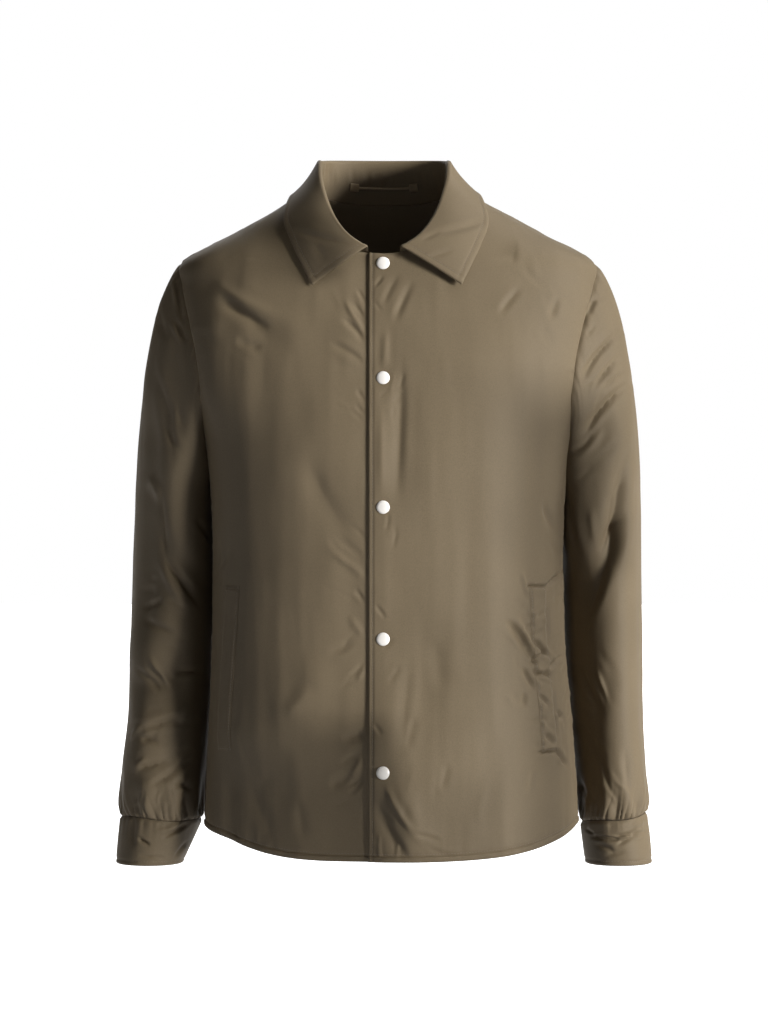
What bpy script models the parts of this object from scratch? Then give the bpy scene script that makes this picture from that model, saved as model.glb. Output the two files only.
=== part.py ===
"""A button-front jacket in lightly padded cloth, filled out as it is when worn, with no wearer.

Metres, +Z up. The front faces -Y and the wearer's left is +X. The origin lies midway between the
two points where the shoulder seams meet the neckline, which is where a wearer's shoulders carry it.
Every cloth piece is a closed wall: a grid of outer points, and inner points one cloth thickness away.
"""

from collections import namedtuple

import bmesh
import bpy
import numpy as np

# Cloth and seams
CLOTH = 0.0022
SEAM_GAP = 0.0003
ARMHOLE_SEAM = 0.0005
LAY_GAP = 0.0006
SHELL_COLOUR, SHELL_ROUGHNESS = (0.165, 0.125, 0.078), 0.5
METAL_COLOUR, METAL_ROUGHNESS, METAL_SHARE = (0.86, 0.83, 0.78), 0.3, 0.6
SHARP_DEGREES = 50

# Torso: horizontal sections from hem to neck, each a rounded ring with its own front and back depth
RING_POWER = 2.3
TorsoSection = namedtuple("TorsoSection", "height shift half_width side_y front_depth back_depth")
TORSO_SECTIONS = (
    TorsoSection(-0.735, 0.009, 0.204, -0.008, 0.115, 0.116),
    TorsoSection(-0.600, 0.007, 0.197, -0.006, 0.121, 0.113),
    TorsoSection(-0.480, 0.005, 0.190, -0.004, 0.125, 0.114),
    TorsoSection(-0.380, 0.004, 0.189, -0.002, 0.128, 0.120),
    TorsoSection(-0.290, 0.004, 0.197, 0.000, 0.128, 0.128),
    TorsoSection(-0.244, 0.004, 0.209, 0.002, 0.124, 0.130),
    TorsoSection(-0.200, 0.004, 0.219, 0.003, 0.117, 0.128),
    TorsoSection(-0.148, 0.004, 0.226, 0.005, 0.106, 0.122),
    TorsoSection(-0.110, 0.004, 0.228, 0.007, 0.097, 0.113),
    TorsoSection(-0.082, 0.004, 0.223, 0.008, 0.089, 0.104),
    TorsoSection(-0.050, 0.0045, 0.1645, 0.008, 0.077, 0.091),
    TorsoSection(-0.025, 0.004, 0.119, 0.008, 0.065, 0.079),
    TorsoSection(0.000, 0.000, 0.078, 0.008, 0.052, 0.066),
    TorsoSection(0.020, 0.000, 0.045, 0.008, 0.040, 0.050),
)
HEM_HEIGHT = -0.718
HEM_SIDE_RISE = 0.031
HEM_RISE_POWER = 4
HEM_TILT = 0.002
BINDING_HEIGHT = 0.006
BINDING_SWELL = 0.0005

# Front opening: the wearer's left front laps over the right
OVERLAP = 0.017
LAP_BLEND = 0.035
LAP_DEPTH = CLOTH + 0.0018

# Neckline and armholes
NECK_HALF_WIDTH = 0.078
NECK_FRONT_DROP = 0.078
NECK_BACK_DROP = 0.014
NECK_WALL_INWARD, NECK_WALL_DOWN = 0.8, 0.5
ARMHOLE_TOP = -0.082
ARMHOLE_BOTTOM = -0.290
ARMHOLE_FRONT_REACH = 0.055
ARMHOLE_BACK_REACH = 0.068
ARMHOLE_EGG = 0.25
ARMHOLE_POINT = 0.8

# Sleeves: sections below the armhole, then the gathered end and the cuff
SleeveSection = namedtuple("SleeveSection", "height shift outer_reach centre_y half_depth body_gap")
SLEEVE_SECTIONS = (
    SleeveSection(-0.335, 0.0045, 0.2755, 0.036, 0.067, 0.0050),
    SleeveSection(-0.416, 0.0035, 0.2775, 0.041, 0.065, 0.0085),
    SleeveSection(-0.500, 0.0025, 0.279, 0.043, 0.063, 0.0105),
    SleeveSection(-0.580, 0.0015, 0.281, 0.040, 0.061, 0.0100),
    SleeveSection(-0.635, 0.0000, 0.285, 0.034, 0.059, 0.0095),
    SleeveSection(-0.666, 0.0000, 0.287, 0.030, 0.054, 0.0095),
    SleeveSection(-0.683, 0.0000, 0.286, 0.028, 0.048, 0.0105),
)
CAP_PULL = 0.55
CAP_SPREAD_TOP = 1.0
CAP_SPREAD_UNDER = 0.15
GATHERS = 10
GATHER_HEIGHT = 0.0030
GATHER_PEAK = 0.013
GATHER_REACH = 0.060
CUFF_BOTTOM = -0.733
CUFF_OUTER_REACH = 0.291
CUFF_INNER_REACH = 0.219
CUFF_HALF_DEPTH = 0.044
CUFF_CENTRE_Y = 0.026

# Collar: one folded piece, from the neck seam up the stand, over the roll and down the fall
COLLAR_START = float(np.degrees(np.arcsin(OVERLAP / NECK_HALF_WIDTH)))
STAND_LEAN = 0.0105
STAND_LEAN_REACH = 55
STAND_FRONT, STAND_SIDE = 0.004, 0.0245
FOLD_BACK_RISE = 0.006
FOLD_ROUNDING = 3
ROLL_RADIUS = 0.0021
FALL_CLEARANCE = 0.0030
CollarBow = namedtuple("CollarBow", "angle bow")
COLLAR_BOW = (CollarBow(12.6, 0.0025), CollarBow(45, 0.0045), CollarBow(90, -0.003), CollarBow(180, 0.002))
CollarEdge = namedtuple("CollarEdge", "angle x height")
COLLAR_EDGE = (
    CollarEdge(12.6, 0.0785, -0.1140),
    CollarEdge(30.0, 0.0885, -0.0935),
    CollarEdge(50.0, 0.1000, -0.0690),
    CollarEdge(70.0, 0.1080, -0.0440),
    CollarEdge(90.0, 0.1005, -0.0145),
    CollarEdge(115.0, 0.0875, -0.0220),
    CollarEdge(145.0, 0.0550, -0.0275),
    CollarEdge(180.0, 0.0000, -0.0300),
)
COLLAR_SHIFT = 0.003
COLLAR_SHIFT_FULL, COLLAR_SHIFT_NONE = 40, 140

# Pocket welts, slanting strips laid on the fronts
WELT_TOP, WELT_BOTTOM = -0.430, -0.606
WELT_TOP_X, WELT_BOTTOM_X = 0.153, 0.164
WELT_WIDTH = 0.026
WELT_CLOTH = 0.0018

# Snaps: domed caps on the centre line
SNAP_HEIGHTS = (-0.089, -0.211, -0.347, -0.485, -0.624)
SNAP_X = -0.001
SNAP_RADIUS = 0.007
SNAP_RISE = 0.0026
SNAP_SIDES = 16
SNAP_SEAT = 0.0006
SnapRing = namedtuple("SnapRing", "radius_share rise_share")
SNAP_PROFILE = (SnapRing(1.0, 0.0), SnapRing(1.0, 0.35), SnapRing(0.88, 0.72), SnapRing(0.55, 0.94))

# Hanger loop inside the collar stand
LOOP_HALF_LENGTH = 0.040
LOOP_STAND_SHARE = 0.42
LOOP_WIDTH = 0.005
LOOP_THICKNESS = 0.0012
LOOP_BOW = 0.003
LOOP_END_SHARE = 1 / 3

# Folds: ridge (+) or trough (-) lines, in front view, with the width and height of each
FOLD_END_SHARE = 1 / 3
FOLD_SIDE_FADE = 0.12
FOLD_CUFF_FADE = 0.02
FOLD_SEAM_ROWS = 2
Fold = namedtuple("Fold", "x0 z0 x1 z1 width height")
FRONT_FOLDS = (
    Fold(-0.190, -0.105, -0.075, -0.180, 0.020, 0.0035),
    Fold(-0.185, -0.118, -0.090, -0.182, 0.016, -0.0035),
    Fold(-0.060, -0.130, -0.018, -0.205, 0.018, 0.0020),
    Fold(0.018, -0.200, 0.016, -0.370, 0.016, -0.0025),
    Fold(0.006, -0.630, 0.042, -0.712, 0.017, 0.0045),
    Fold(-0.010, -0.640, 0.012, -0.735, 0.022, -0.0025),
    Fold(-0.090, -0.280, -0.030, -0.400, 0.024, -0.0020),
    Fold(-0.110, -0.590, -0.060, -0.500, 0.026, 0.0025),
    Fold(0.112, -0.180, 0.118, -0.640, 0.026, 0.0025),
    Fold(0.052, -0.440, 0.030, -0.640, 0.022, -0.0025),
)
BACK_FOLDS = (
    Fold(-0.150, -0.180, -0.070, -0.330, 0.026, 0.0035),
    Fold(0.150, -0.180, 0.075, -0.340, 0.026, 0.0035),
    Fold(-0.060, -0.400, -0.040, -0.640, 0.030, -0.0035),
    Fold(0.070, -0.420, 0.050, -0.660, 0.032, 0.0035),
)
# Sleeve folds run round the arm: angle 0 is outermost, 90 is front, 180 lies against the body
SleeveFold = namedtuple("SleeveFold", "angle0 z0 angle1 z1 width height")
LEFT_SLEEVE_FOLDS = (
    SleeveFold(35, -0.165, 130, -0.225, 0.012, -0.0030),
    SleeveFold(30, -0.205, 135, -0.290, 0.015, -0.0040),
    SleeveFold(25, -0.250, 120, -0.320, 0.016, 0.0030),
    SleeveFold(50, -0.340, 150, -0.460, 0.018, -0.0040),
    SleeveFold(70, -0.520, 125, -0.580, 0.016, -0.0025),
    SleeveFold(230, -0.250, 330, -0.330, 0.018, 0.0035),
    SleeveFold(220, -0.460, 320, -0.520, 0.018, -0.0035),
    SleeveFold(215, -0.590, 330, -0.610, 0.013, -0.0030),
)
RIGHT_SLEEVE_FOLDS = (
    SleeveFold(60, -0.170, 110, -0.300, 0.016, -0.0025),
    SleeveFold(50, -0.360, 165, -0.460, 0.016, -0.0040),
    SleeveFold(40, -0.440, 140, -0.500, 0.018, 0.0030),
    SleeveFold(20, -0.545, 135, -0.520, 0.013, -0.0035),
    SleeveFold(20, -0.585, 150, -0.560, 0.013, 0.0030),
    SleeveFold(30, -0.640, 140, -0.605, 0.012, -0.0035),
    SleeveFold(225, -0.260, 320, -0.330, 0.018, 0.0035),
    SleeveFold(215, -0.480, 325, -0.530, 0.018, -0.0035),
    SleeveFold(220, -0.590, 330, -0.620, 0.013, -0.0030),
)

# Mesh density. Sleeve and collar have two columns for each one of the panel they are sewn to
SHOULDER_COLUMNS = 9
NECK_FRONT_STEPS, NECK_BACK_STEPS = 6, 4
NECK_COLUMNS = NECK_FRONT_STEPS + 2
FRONT_COLUMNS = NECK_COLUMNS + SHOULDER_COLUMNS
BACK_COLUMNS = 2 * SHOULDER_COLUMNS + 2 * NECK_BACK_STEPS
SIDE_ROWS, ARMHOLE_STEPS = 13, 10
CHEST_ROW = SIDE_ROWS + 4
BACK_DIP = 0.12
SLEEVE_AROUND, CAP_ROWS = 4 * ARMHOLE_STEPS, 7
SLEEVE_ROW_HEIGHTS = (-0.380, -0.430, -0.480, -0.530, -0.575, -0.610, -0.638, -0.657, -0.670, -0.677, -0.683)
CUFF_ROWS = 3
STAND_ROWS, ROLL_ROWS, FALL_ROWS = 2, 5, 5
WELT_ROWS, WELT_COLUMNS = 10, 3
LOOP_ROWS = 14
CURVE_SAMPLES = 240

LEFT, RIGHT = 1, -1


# Small mathematics

class Profile:
    """Smooth curves through the rows of a table, read at any value of its first column."""

    def __init__(self, rows):
        ordered = sorted(rows)
        names = ordered[0]._fields
        self.at = np.array([row[0] for row in ordered])
        self.columns = {name: np.array([getattr(row, name) for row in ordered]) for name in names}
        self.slopes = {name: np.gradient(values, self.at) for name, values in self.columns.items()}

    def read(self, name, where):
        where = np.clip(where, self.at[0], self.at[-1])
        values, slopes = self.columns[name], self.slopes[name]
        i = np.clip(np.searchsorted(self.at, where, side="right") - 1, 0, len(self.at) - 2)
        span = self.at[i + 1] - self.at[i]
        t = (where - self.at[i]) / span
        start, end = values[i], values[i + 1]
        return (
            start * (1 + 2 * t) * (1 - t) ** 2
            + slopes[i] * span * t * (1 - t) ** 2
            + end * t**2 * (3 - 2 * t)
            - slopes[i + 1] * span * t**2 * (1 - t)
        )


def ease(t):
    """0 to 1 with flat ends."""
    t = np.clip(t, 0, 1)
    return t * t * (3 - 2 * t)


def arch(t):
    """0 at both ends and 1 in the middle."""
    return 4 * t * (1 - t)


def unit(vectors):
    return vectors / np.maximum(np.linalg.norm(vectors, axis=-1, keepdims=True), 1e-12)


def stack(x, y, z):
    return np.stack(np.broadcast_arrays(x, y, z), axis=-1).astype(float)


def spaced(points, count):
    """The same curve as count + 1 points at even distances."""
    steps = np.linalg.norm(np.diff(points, axis=0), axis=1)
    along = np.concatenate([[0], np.cumsum(steps)])
    wanted = np.linspace(0, along[-1], count + 1)
    return np.stack([np.interp(wanted, along, points[:, k]) for k in range(3)], axis=1)


def halved(points, closed):
    """The same corners, with every second point of the row moved to the middle of its neighbours."""
    straight = points.copy()
    after = np.roll(points[0::2], -1, axis=0)[: len(points[1::2])] if closed else points[2::2]
    straight[1::2] = (points[0::2][: len(after)] + after) / 2
    return straight


def joined(first, second):
    """Two curves end to end, with their common point once."""
    return np.concatenate([first, second[1:]])


def patch(bottom, top, start, end, dip=0.0):
    """A surface between four boundary curves: rows run from bottom to top, columns from start to end.

    With dip, the rows sag between their two ends, by that share of the height.
    """
    across = np.linspace(0, 1, len(bottom))[None, :, None]
    up = np.linspace(0, 1, len(start))[:, None, None]
    sagging = up - dip * arch(across) * arch(up)
    corners = (
        (1 - up) * ((1 - across) * bottom[0] + across * bottom[-1])
        + up * ((1 - across) * top[0] + across * top[-1])
    )
    ruled_up = (1 - sagging) * bottom[None] + sagging * top[None]
    ruled_across = (1 - across) * start[:, None] + across * end[:, None]
    return ruled_up + ruled_across - corners


def grid_normals(grid, closed):
    """Unit normals of a grid of points. With closed, the columns run round a tube."""
    if closed:
        across = np.roll(grid, -1, axis=1) - np.roll(grid, 1, axis=1)
    else:
        across = np.gradient(grid, axis=1)
    return unit(np.cross(across, np.gradient(grid, axis=0)))


# The torso's form

TORSO = Profile(TORSO_SECTIONS)


def torso_ring(height):
    names = ("shift", "half_width", "side_y", "front_depth", "back_depth")
    return [TORSO.read(name, height) for name in names]


def torso_shares(points):
    """How far out each point lies on its own ring, across and in depth, as shares of the ring's sizes."""
    shift, half, side_y, front, back = torso_ring(points[..., 2])
    deep = points[..., 1] - side_y
    return (points[..., 0] - shift) / half, deep / np.where(deep < 0, front, back)


def onto_torso(points):
    """Each point moved level, towards or away from its ring's middle, until it lies on the form."""
    shift, _, side_y, _, _ = torso_ring(points[..., 2])
    across, deep = torso_shares(points)
    reach = (np.abs(across) ** RING_POWER + np.abs(deep) ** RING_POWER) ** (1 / RING_POWER)
    moved = points.copy()
    moved[..., 0] = shift + (points[..., 0] - shift) / reach
    moved[..., 1] = side_y + (points[..., 1] - side_y) / reach
    return moved


def torso_normal(points, step=0.0005):
    """The outward direction of the form at each point."""

    def level(at):
        across, deep = torso_shares(at)
        return np.abs(across) ** RING_POWER + np.abs(deep) ** RING_POWER

    slopes = [level(points + step * axis) - level(points - step * axis) for axis in np.eye(3)]
    return unit(np.stack(slopes, axis=-1))


def torso_at(x, height, facing):
    """The point of the form at x and a height, on its front (-1) or its back (+1)."""
    shift, half, side_y, front, back = torso_ring(height)
    share = np.clip(np.abs((x - shift) / half), 0, 1)
    depth = front if facing < 0 else back
    return stack(x, side_y + facing * depth * (1 - share**RING_POWER) ** (1 / RING_POWER), height)


def torso_beside(height, reach, facing, side):
    """The point of the form that lies a reach in front of or behind the side seam."""
    shift, half, side_y, front, back = torso_ring(height)
    depth = front if facing < 0 else back
    x = shift + side * half * (1 - (reach / depth) ** RING_POWER) ** (1 / RING_POWER)
    return stack(x, side_y + facing * reach, height)


def hem_curve(start_share, end_share, facing, lift):
    """The hem between two shares of the half width. It is level in the middle and rises at the sides."""
    turn = np.linspace(np.arcsin(start_share), np.arcsin(end_share), CURVE_SAMPLES)
    share = np.sign(np.sin(turn)) * np.abs(np.sin(turn)) ** (2 / RING_POWER)
    height = HEM_HEIGHT + HEM_SIDE_RISE * np.abs(share) ** HEM_RISE_POWER + HEM_TILT * share + lift
    shift, half, _, _, _ = torso_ring(height)
    return torso_at(shift + half * share, height, facing)


def neckline(angle, side):
    """The neck seam. The angle runs from 0 at the front, through 90 at the shoulder, to 180 at the back."""
    turn = np.radians(angle)
    drop = np.where(np.cos(turn) > 0, NECK_FRONT_DROP, NECK_BACK_DROP)
    x = side * NECK_HALF_WIDTH * np.sin(turn)
    height = -drop * np.abs(np.cos(turn))
    front, back = torso_at(x, height, -1), torso_at(x, height, 1)
    return np.where((np.cos(turn) > 0)[..., None], front, back)


def neck_wall(points):
    """Which way the cloth's thickness runs at the neck seam: in towards the neck, and down."""
    inward = -points * np.array([1, 1, 0]) + np.array([0, TORSO.read("side_y", 0.0), 0])
    return unit(unit(inward) * NECK_WALL_INWARD - np.array([0, 0, NECK_WALL_DOWN]))


def armhole(angle, side):
    """The armhole seam. The angle runs from 0 at the shoulder, through 90 at the front, to 180 underneath."""
    turn = np.radians(angle)
    middle, half = (ARMHOLE_TOP + ARMHOLE_BOTTOM) / 2, (ARMHOLE_TOP - ARMHOLE_BOTTOM) / 2
    height = middle + half * np.cos(turn)
    underneath = (1 - np.cos(turn)) / 2
    egg = np.abs(np.sin(turn)) ** (1 + ARMHOLE_POINT * underneath) * (1 - ARMHOLE_EGG * np.cos(turn))
    front = torso_beside(height, ARMHOLE_FRONT_REACH * egg, -1, side)
    back = torso_beside(height, ARMHOLE_BACK_REACH * egg, 1, side)
    return np.where((np.sin(turn) >= 0)[..., None], front, back)


def armhole_wall(points, side):
    """Which way the cloth's thickness runs at the armhole seam: towards the middle of the hole."""
    ring = armhole(np.arange(0, 360, 10), side)
    towards = ring.mean(axis=0) - points
    return unit(towards * np.array([0, 1, 1]))


def side_line(top, bottom, side):
    """The side or shoulder seam: where front and back meet, from one height to another."""
    height = np.linspace(top, bottom, CURVE_SAMPLES)
    shift, half, side_y, _, _ = torso_ring(height)
    return stack(shift + side * half, side_y, height)


# Folds

def fold_lift(across, up, folds):
    """How far the cloth stands out at each place, from lines with a width, a height and soft ends."""
    lift = np.zeros(np.shape(across))
    for x0, z0, x1, z1, width, height in folds:
        length = np.hypot(x1 - x0, z1 - z0)
        along = ((across - x0) * (x1 - x0) + (up - z0) * (z1 - z0)) / length**2
        aside = ((across - x0) * (z1 - z0) - (up - z0) * (x1 - x0)) / length
        fade = ease(along / FOLD_END_SHARE) * ease((1 - along) / FOLD_END_SHARE)
        lift = lift + height * np.exp(-((aside / width) ** 2)) * fade
    return lift


def torso_folds(points, facing):
    folds = FRONT_FOLDS if facing < 0 else BACK_FOLDS
    across, _ = torso_shares(points)
    away_from_sides = ease((1 - np.abs(across)) / FOLD_SIDE_FADE)
    lift = fold_lift(points[..., 0], points[..., 2], folds) * away_from_sides
    return torso_normal(points) * lift[..., None]


def lap_push(points):
    """The right front sinks behind the left one near the centre."""
    share = ease((points[..., 0] + OVERLAP + LAP_BLEND) / LAP_BLEND)
    return -torso_normal(points) * (LAP_DEPTH * share)[..., None]


# Meshes

def material(name, colour, roughness, metallic):
    made = bpy.data.materials.new(name)
    made.use_nodes = True
    shader = made.node_tree.nodes["Principled BSDF"]
    shader.inputs["Base Color"].default_value = (*colour, 1)
    shader.inputs["Roughness"].default_value = roughness
    shader.inputs["Metallic"].default_value = metallic
    return made


def solid(name, mesh_points, faces, finish, parent):
    """One named object from points and faces, with its faces turned outwards."""
    mesh = bpy.data.meshes.new(name)
    form = bmesh.new()
    corners = [form.verts.new(point) for point in mesh_points]
    for face in faces:
        form.faces.new([corners[i] for i in face])
    bmesh.ops.recalc_face_normals(form, faces=form.faces)
    form.to_mesh(mesh)
    form.free()
    mesh.shade_smooth()
    mesh.set_sharp_from_angle(angle=np.radians(SHARP_DEGREES))
    mesh.materials.append(finish)
    made = bpy.data.objects.new(name, mesh)
    made.parent = parent
    bpy.context.scene.collection.objects.link(made)
    return made


def wall(name, outer, inner, finish, parent, closed=False):
    """A cloth wall between two grids of points. With closed, the columns run round a tube."""
    rows, columns = outer.shape[:2]
    points = np.concatenate([outer.reshape(-1, 3), inner.reshape(-1, 3)])
    inside = rows * columns
    faces = []
    for row in range(rows - 1):
        for column in range(columns if closed else columns - 1):
            beside = (column + 1) % columns
            a, b = row * columns + column, row * columns + beside
            c, d = a + columns, b + columns
            faces += [(a, b, d, c), (inside + a, inside + c, inside + d, inside + b)]
    rims = [[row * columns + column for column in range(columns)] for row in (0, rows - 1)]
    if closed:
        rims = [rim + rim[:1] for rim in rims]
    else:
        rims += [[row * columns + column for row in range(rows)] for column in (0, columns - 1)]
    for rim in rims:
        faces += [(a, b, inside + b, inside + a) for a, b in zip(rim, rim[1:])]
    return solid(name, points, faces, finish, parent)


# Fronts and back

def front_edges(side, lift):
    """The four boundary curves of one front: hem, top, centre edge, and side with armhole."""
    edge_x = -side * OVERLAP
    shift, half, _, _, _ = torso_ring(HEM_HEIGHT)
    edge_share = (edge_x - shift) / half
    edge_sine = np.sign(edge_share) * np.abs(edge_share) ** (RING_POWER / 2)
    hem = spaced(hem_curve(edge_sine, side, -1, lift), FRONT_COLUMNS)
    collar_angles = np.linspace(COLLAR_START, 90, NECK_FRONT_STEPS + 1)
    neck = neckline(np.concatenate([[-COLLAR_START, 0], collar_angles]), side)
    shoulder = spaced(side_line(0.0, ARMHOLE_TOP, side), SHOULDER_COLUMNS)
    rows = SIDE_ROWS + ARMHOLE_STEPS + 1
    straight = np.linspace(hem[0], neck[0], rows)
    centre = torso_at(straight[:, 0], straight[:, 2], -1)
    seam = spaced(side_line(hem[-1, 2], ARMHOLE_BOTTOM, side), SIDE_ROWS)
    arm = armhole(np.linspace(180, 0, ARMHOLE_STEPS + 1), side)
    return hem, joined(neck, shoulder), centre, joined(seam, arm)


def front_grid(side):
    """Outer and inner points of one front."""
    hem, top, centre, edge = front_edges(side, BINDING_HEIGHT)
    form = onto_torso(patch(hem, top, centre, edge))
    depth = -torso_normal(form)
    depth[-1, : NECK_COLUMNS + 1] = neck_wall(form[-1, : NECK_COLUMNS + 1])
    depth[SIDE_ROWS:, -1] = armhole_wall(form[SIDE_ROWS:, -1], side)
    form[: SIDE_ROWS + 1, -1, 1] -= SEAM_GAP / 2
    form[-1, NECK_COLUMNS:, 1] -= SEAM_GAP / 2
    outer = form + torso_folds(form, -1)
    if side == RIGHT:
        outer += lap_push(form)
    return outer, outer + CLOTH * depth


def chest_cut(outer, inner):
    """One front as two solids, below and above a level across the chest, a seam's gap apart."""
    below = [grid[: CHEST_ROW + 1].copy() for grid in (outer, inner)]
    for grid in below:
        grid[-1, :, 2] -= SEAM_GAP
    return below, [grid[CHEST_ROW:] for grid in (outer, inner)]


def back_grid():
    """Outer and inner points of the back, from the wearer's right side to the left."""
    edges = []
    for side in (RIGHT, LEFT):
        seam_start = hem_curve(0, side, 1, BINDING_HEIGHT)[-1, 2]
        seam = spaced(side_line(seam_start, ARMHOLE_BOTTOM, side), SIDE_ROWS)
        arm = armhole(np.linspace(180, 360, ARMHOLE_STEPS + 1), side)
        edges.append(joined(seam, arm))
    hem = spaced(hem_curve(-1, 1, 1, BINDING_HEIGHT), BACK_COLUMNS)
    shoulders = [spaced(side_line(0.0, ARMHOLE_TOP, side), SHOULDER_COLUMNS) for side in (RIGHT, LEFT)]
    half_neck = neckline(np.linspace(90, 180, NECK_BACK_STEPS + 1), RIGHT)
    neck = joined(half_neck, half_neck[::-1] * np.array([-1, 1, 1]))
    top = joined(joined(shoulders[0][::-1], neck), shoulders[1])
    form = onto_torso(patch(hem, top, *edges, dip=BACK_DIP))
    depth = -torso_normal(form)
    collar_part = slice(SHOULDER_COLUMNS, SHOULDER_COLUMNS + 2 * NECK_BACK_STEPS + 1)
    depth[-1, collar_part] = neck_wall(form[-1, collar_part])
    for column, side in ((0, RIGHT), (-1, LEFT)):
        depth[SIDE_ROWS:, column] = armhole_wall(form[SIDE_ROWS:, column], side)
        form[: SIDE_ROWS + 1, column, 1] += SEAM_GAP / 2
    form[-1, : SHOULDER_COLUMNS + 1, 1] += SEAM_GAP / 2
    form[-1, -SHOULDER_COLUMNS - 1 :, 1] += SEAM_GAP / 2
    outer = form + torso_folds(form, 1)
    return outer, outer + CLOTH * depth


def binding_grid(facing, side):
    """Outer and inner points of the narrow binding under a front or the back."""
    rows = []
    for lift in (0.0, BINDING_HEIGHT / 2, BINDING_HEIGHT - SEAM_GAP):
        if facing < 0:
            rows.append(front_edges(side, lift)[0])
        else:
            rows.append(spaced(hem_curve(-1, 1, 1, lift), BACK_COLUMNS))
    form = np.array(rows)
    normal = torso_normal(form)
    form[:, -1, 1] += facing * SEAM_GAP / 2
    if facing > 0:
        form[:, 0, 1] += SEAM_GAP / 2
    outer = form + torso_folds(form, facing)
    if facing < 0 and side == RIGHT:
        outer += lap_push(form)
    return outer + BINDING_SWELL * normal, outer - (CLOTH + BINDING_SWELL) * normal


# Sleeves and cuffs

SLEEVE = Profile(SLEEVE_SECTIONS)


def oval(turn, outer_x, inner_x, centre_y, half_depth, height):
    """A ring round the arm. Turn 0 is outermost, a quarter turn is the front."""
    x = (outer_x + inner_x) / 2 + (outer_x - inner_x) / 2 * np.cos(turn)
    return stack(x, centre_y - half_depth * np.sin(turn), height)


def sleeve_ring(turn, height, side):
    """The sleeve at a height, just clear of the body beside it."""
    names = ("shift", "outer_reach", "centre_y", "half_depth", "body_gap")
    shift, outer_reach, centre_y, half_depth, body_gap = [SLEEVE.read(name, height) for name in names]
    behind = centre_y - TORSO.read("side_y", height)
    inner_x = torso_beside(height, behind, 1, side)[..., 0] + side * body_gap
    return oval(turn, shift + side * outer_reach, inner_x, centre_y, half_depth, height)


def sleeve_cap(turn, share, side):
    """The sleeve between the armhole (share 0) and the first full ring under the arm (share 1)."""
    start = halved(armhole(np.degrees(turn), side), True) + np.array([side * ARMHOLE_SEAM, 0, 0])
    under = SLEEVE_SECTIONS[0].height
    end = sleeve_ring(turn, under, side)
    length = np.linalg.norm(end - start, axis=-1, keepdims=True)
    upward = (1 + np.cos(turn)) / 2
    spread = CAP_SPREAD_UNDER + (CAP_SPREAD_TOP - CAP_SPREAD_UNDER) * upward
    leave = unit(stack(side * spread, 0.0, -1.0)) * length * CAP_PULL
    step = 0.01
    arrive = unit(end - sleeve_ring(turn, under - step, side)) * -length
    t = share
    return (
        start * (1 + 2 * t) * (1 - t) ** 2
        + leave * t * (1 - t) ** 2
        + end * t**2 * (3 - 2 * t)
        - arrive * t**2 * (1 - t)
    )


def gather_lift(turn, height):
    """The small folds where the sleeve is drawn into its cuff."""
    up = height - SLEEVE_SECTIONS[-1].height
    swell = ease(up / GATHER_PEAK) * ease((GATHER_REACH - up) / (GATHER_REACH - GATHER_PEAK))
    return GATHER_HEIGHT * swell * np.cos(GATHERS * turn)


def sleeve_fold_lift(turn, height, side):
    """The sleeve's own folds, with angles taken as lengths round the arm."""
    degrees = np.degrees(turn) % 360
    scale = np.radians(1) * SLEEVE_SECTIONS[1].half_depth
    table = LEFT_SLEEVE_FOLDS if side == LEFT else RIGHT_SLEEVE_FOLDS
    folds = [Fold(f.angle0 * scale, f.z0, f.angle1 * scale, f.z1, f.width, f.height) for f in table]
    return fold_lift(degrees * scale, height, folds)


def sleeve_grid(side):
    """Outer and inner points of one sleeve, from the armhole down to the cuff seam."""
    turn = np.arange(SLEEVE_AROUND) * 2 * np.pi / SLEEVE_AROUND
    rows = [sleeve_cap(turn, share, side) for share in np.linspace(0, 1, CAP_ROWS + 1)]
    rows += [sleeve_ring(turn, height, side) for height in SLEEVE_ROW_HEIGHTS]
    form = np.array(rows)
    outward = grid_normals(form, True) * side
    height = form[..., 2]
    off_armhole = ease(np.arange(len(rows)) / FOLD_SEAM_ROWS)[:, None]
    off_cuff = ease((height - SLEEVE_SECTIONS[-1].height) / FOLD_CUFF_FADE)
    folds = sleeve_fold_lift(turn[None], height, side) * off_armhole * off_cuff
    lift = folds + gather_lift(turn[None], height)
    depth = -outward
    depth[0] = armhole_wall(form[0], side)
    depth[-1] = unit(form[-1].mean(axis=0) - form[-1])
    outer = form + outward * lift[..., None]
    inner = outer + CLOTH * depth
    outer[0], inner[0] = halved(outer[0], True), halved(inner[0], True)
    return outer, inner


def cuff_grid(side):
    """Outer and inner points of one cuff."""
    turn = np.arange(SLEEVE_AROUND) * 2 * np.pi / SLEEVE_AROUND
    top = sleeve_ring(turn, SLEEVE_SECTIONS[-1].height, side) - np.array([0, 0, SEAM_GAP])
    reaches = (side * CUFF_OUTER_REACH, side * CUFF_INNER_REACH)
    bottom = oval(turn, *reaches, CUFF_CENTRE_Y, CUFF_HALF_DEPTH, CUFF_BOTTOM)
    outer = np.array([top + (bottom - top) * share for share in np.linspace(0, 1, CUFF_ROWS + 1)])
    depth = unit(outer.mean(axis=1, keepdims=True) - outer)
    return outer, outer + CLOTH * depth


# Collar

EDGE = Profile(COLLAR_EDGE)
BOW = Profile(COLLAR_BOW)


def fold_height(angle):
    """The fold line is nearly level round the back, and runs down to the neckline at the front ends."""
    front = np.clip((angle - COLLAR_START) / (90 - COLLAR_START), 0, 1)
    back = np.clip((angle - 90) / 90, 0, 1)
    stand = STAND_FRONT + (STAND_SIDE - STAND_FRONT) * front
    forward = stand - NECK_FRONT_DROP * np.cos(np.radians(angle))
    behind = STAND_SIDE + FOLD_BACK_RISE * (1 - (1 - back) ** FOLD_ROUNDING)
    return np.where(angle <= 90, forward, behind)


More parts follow.
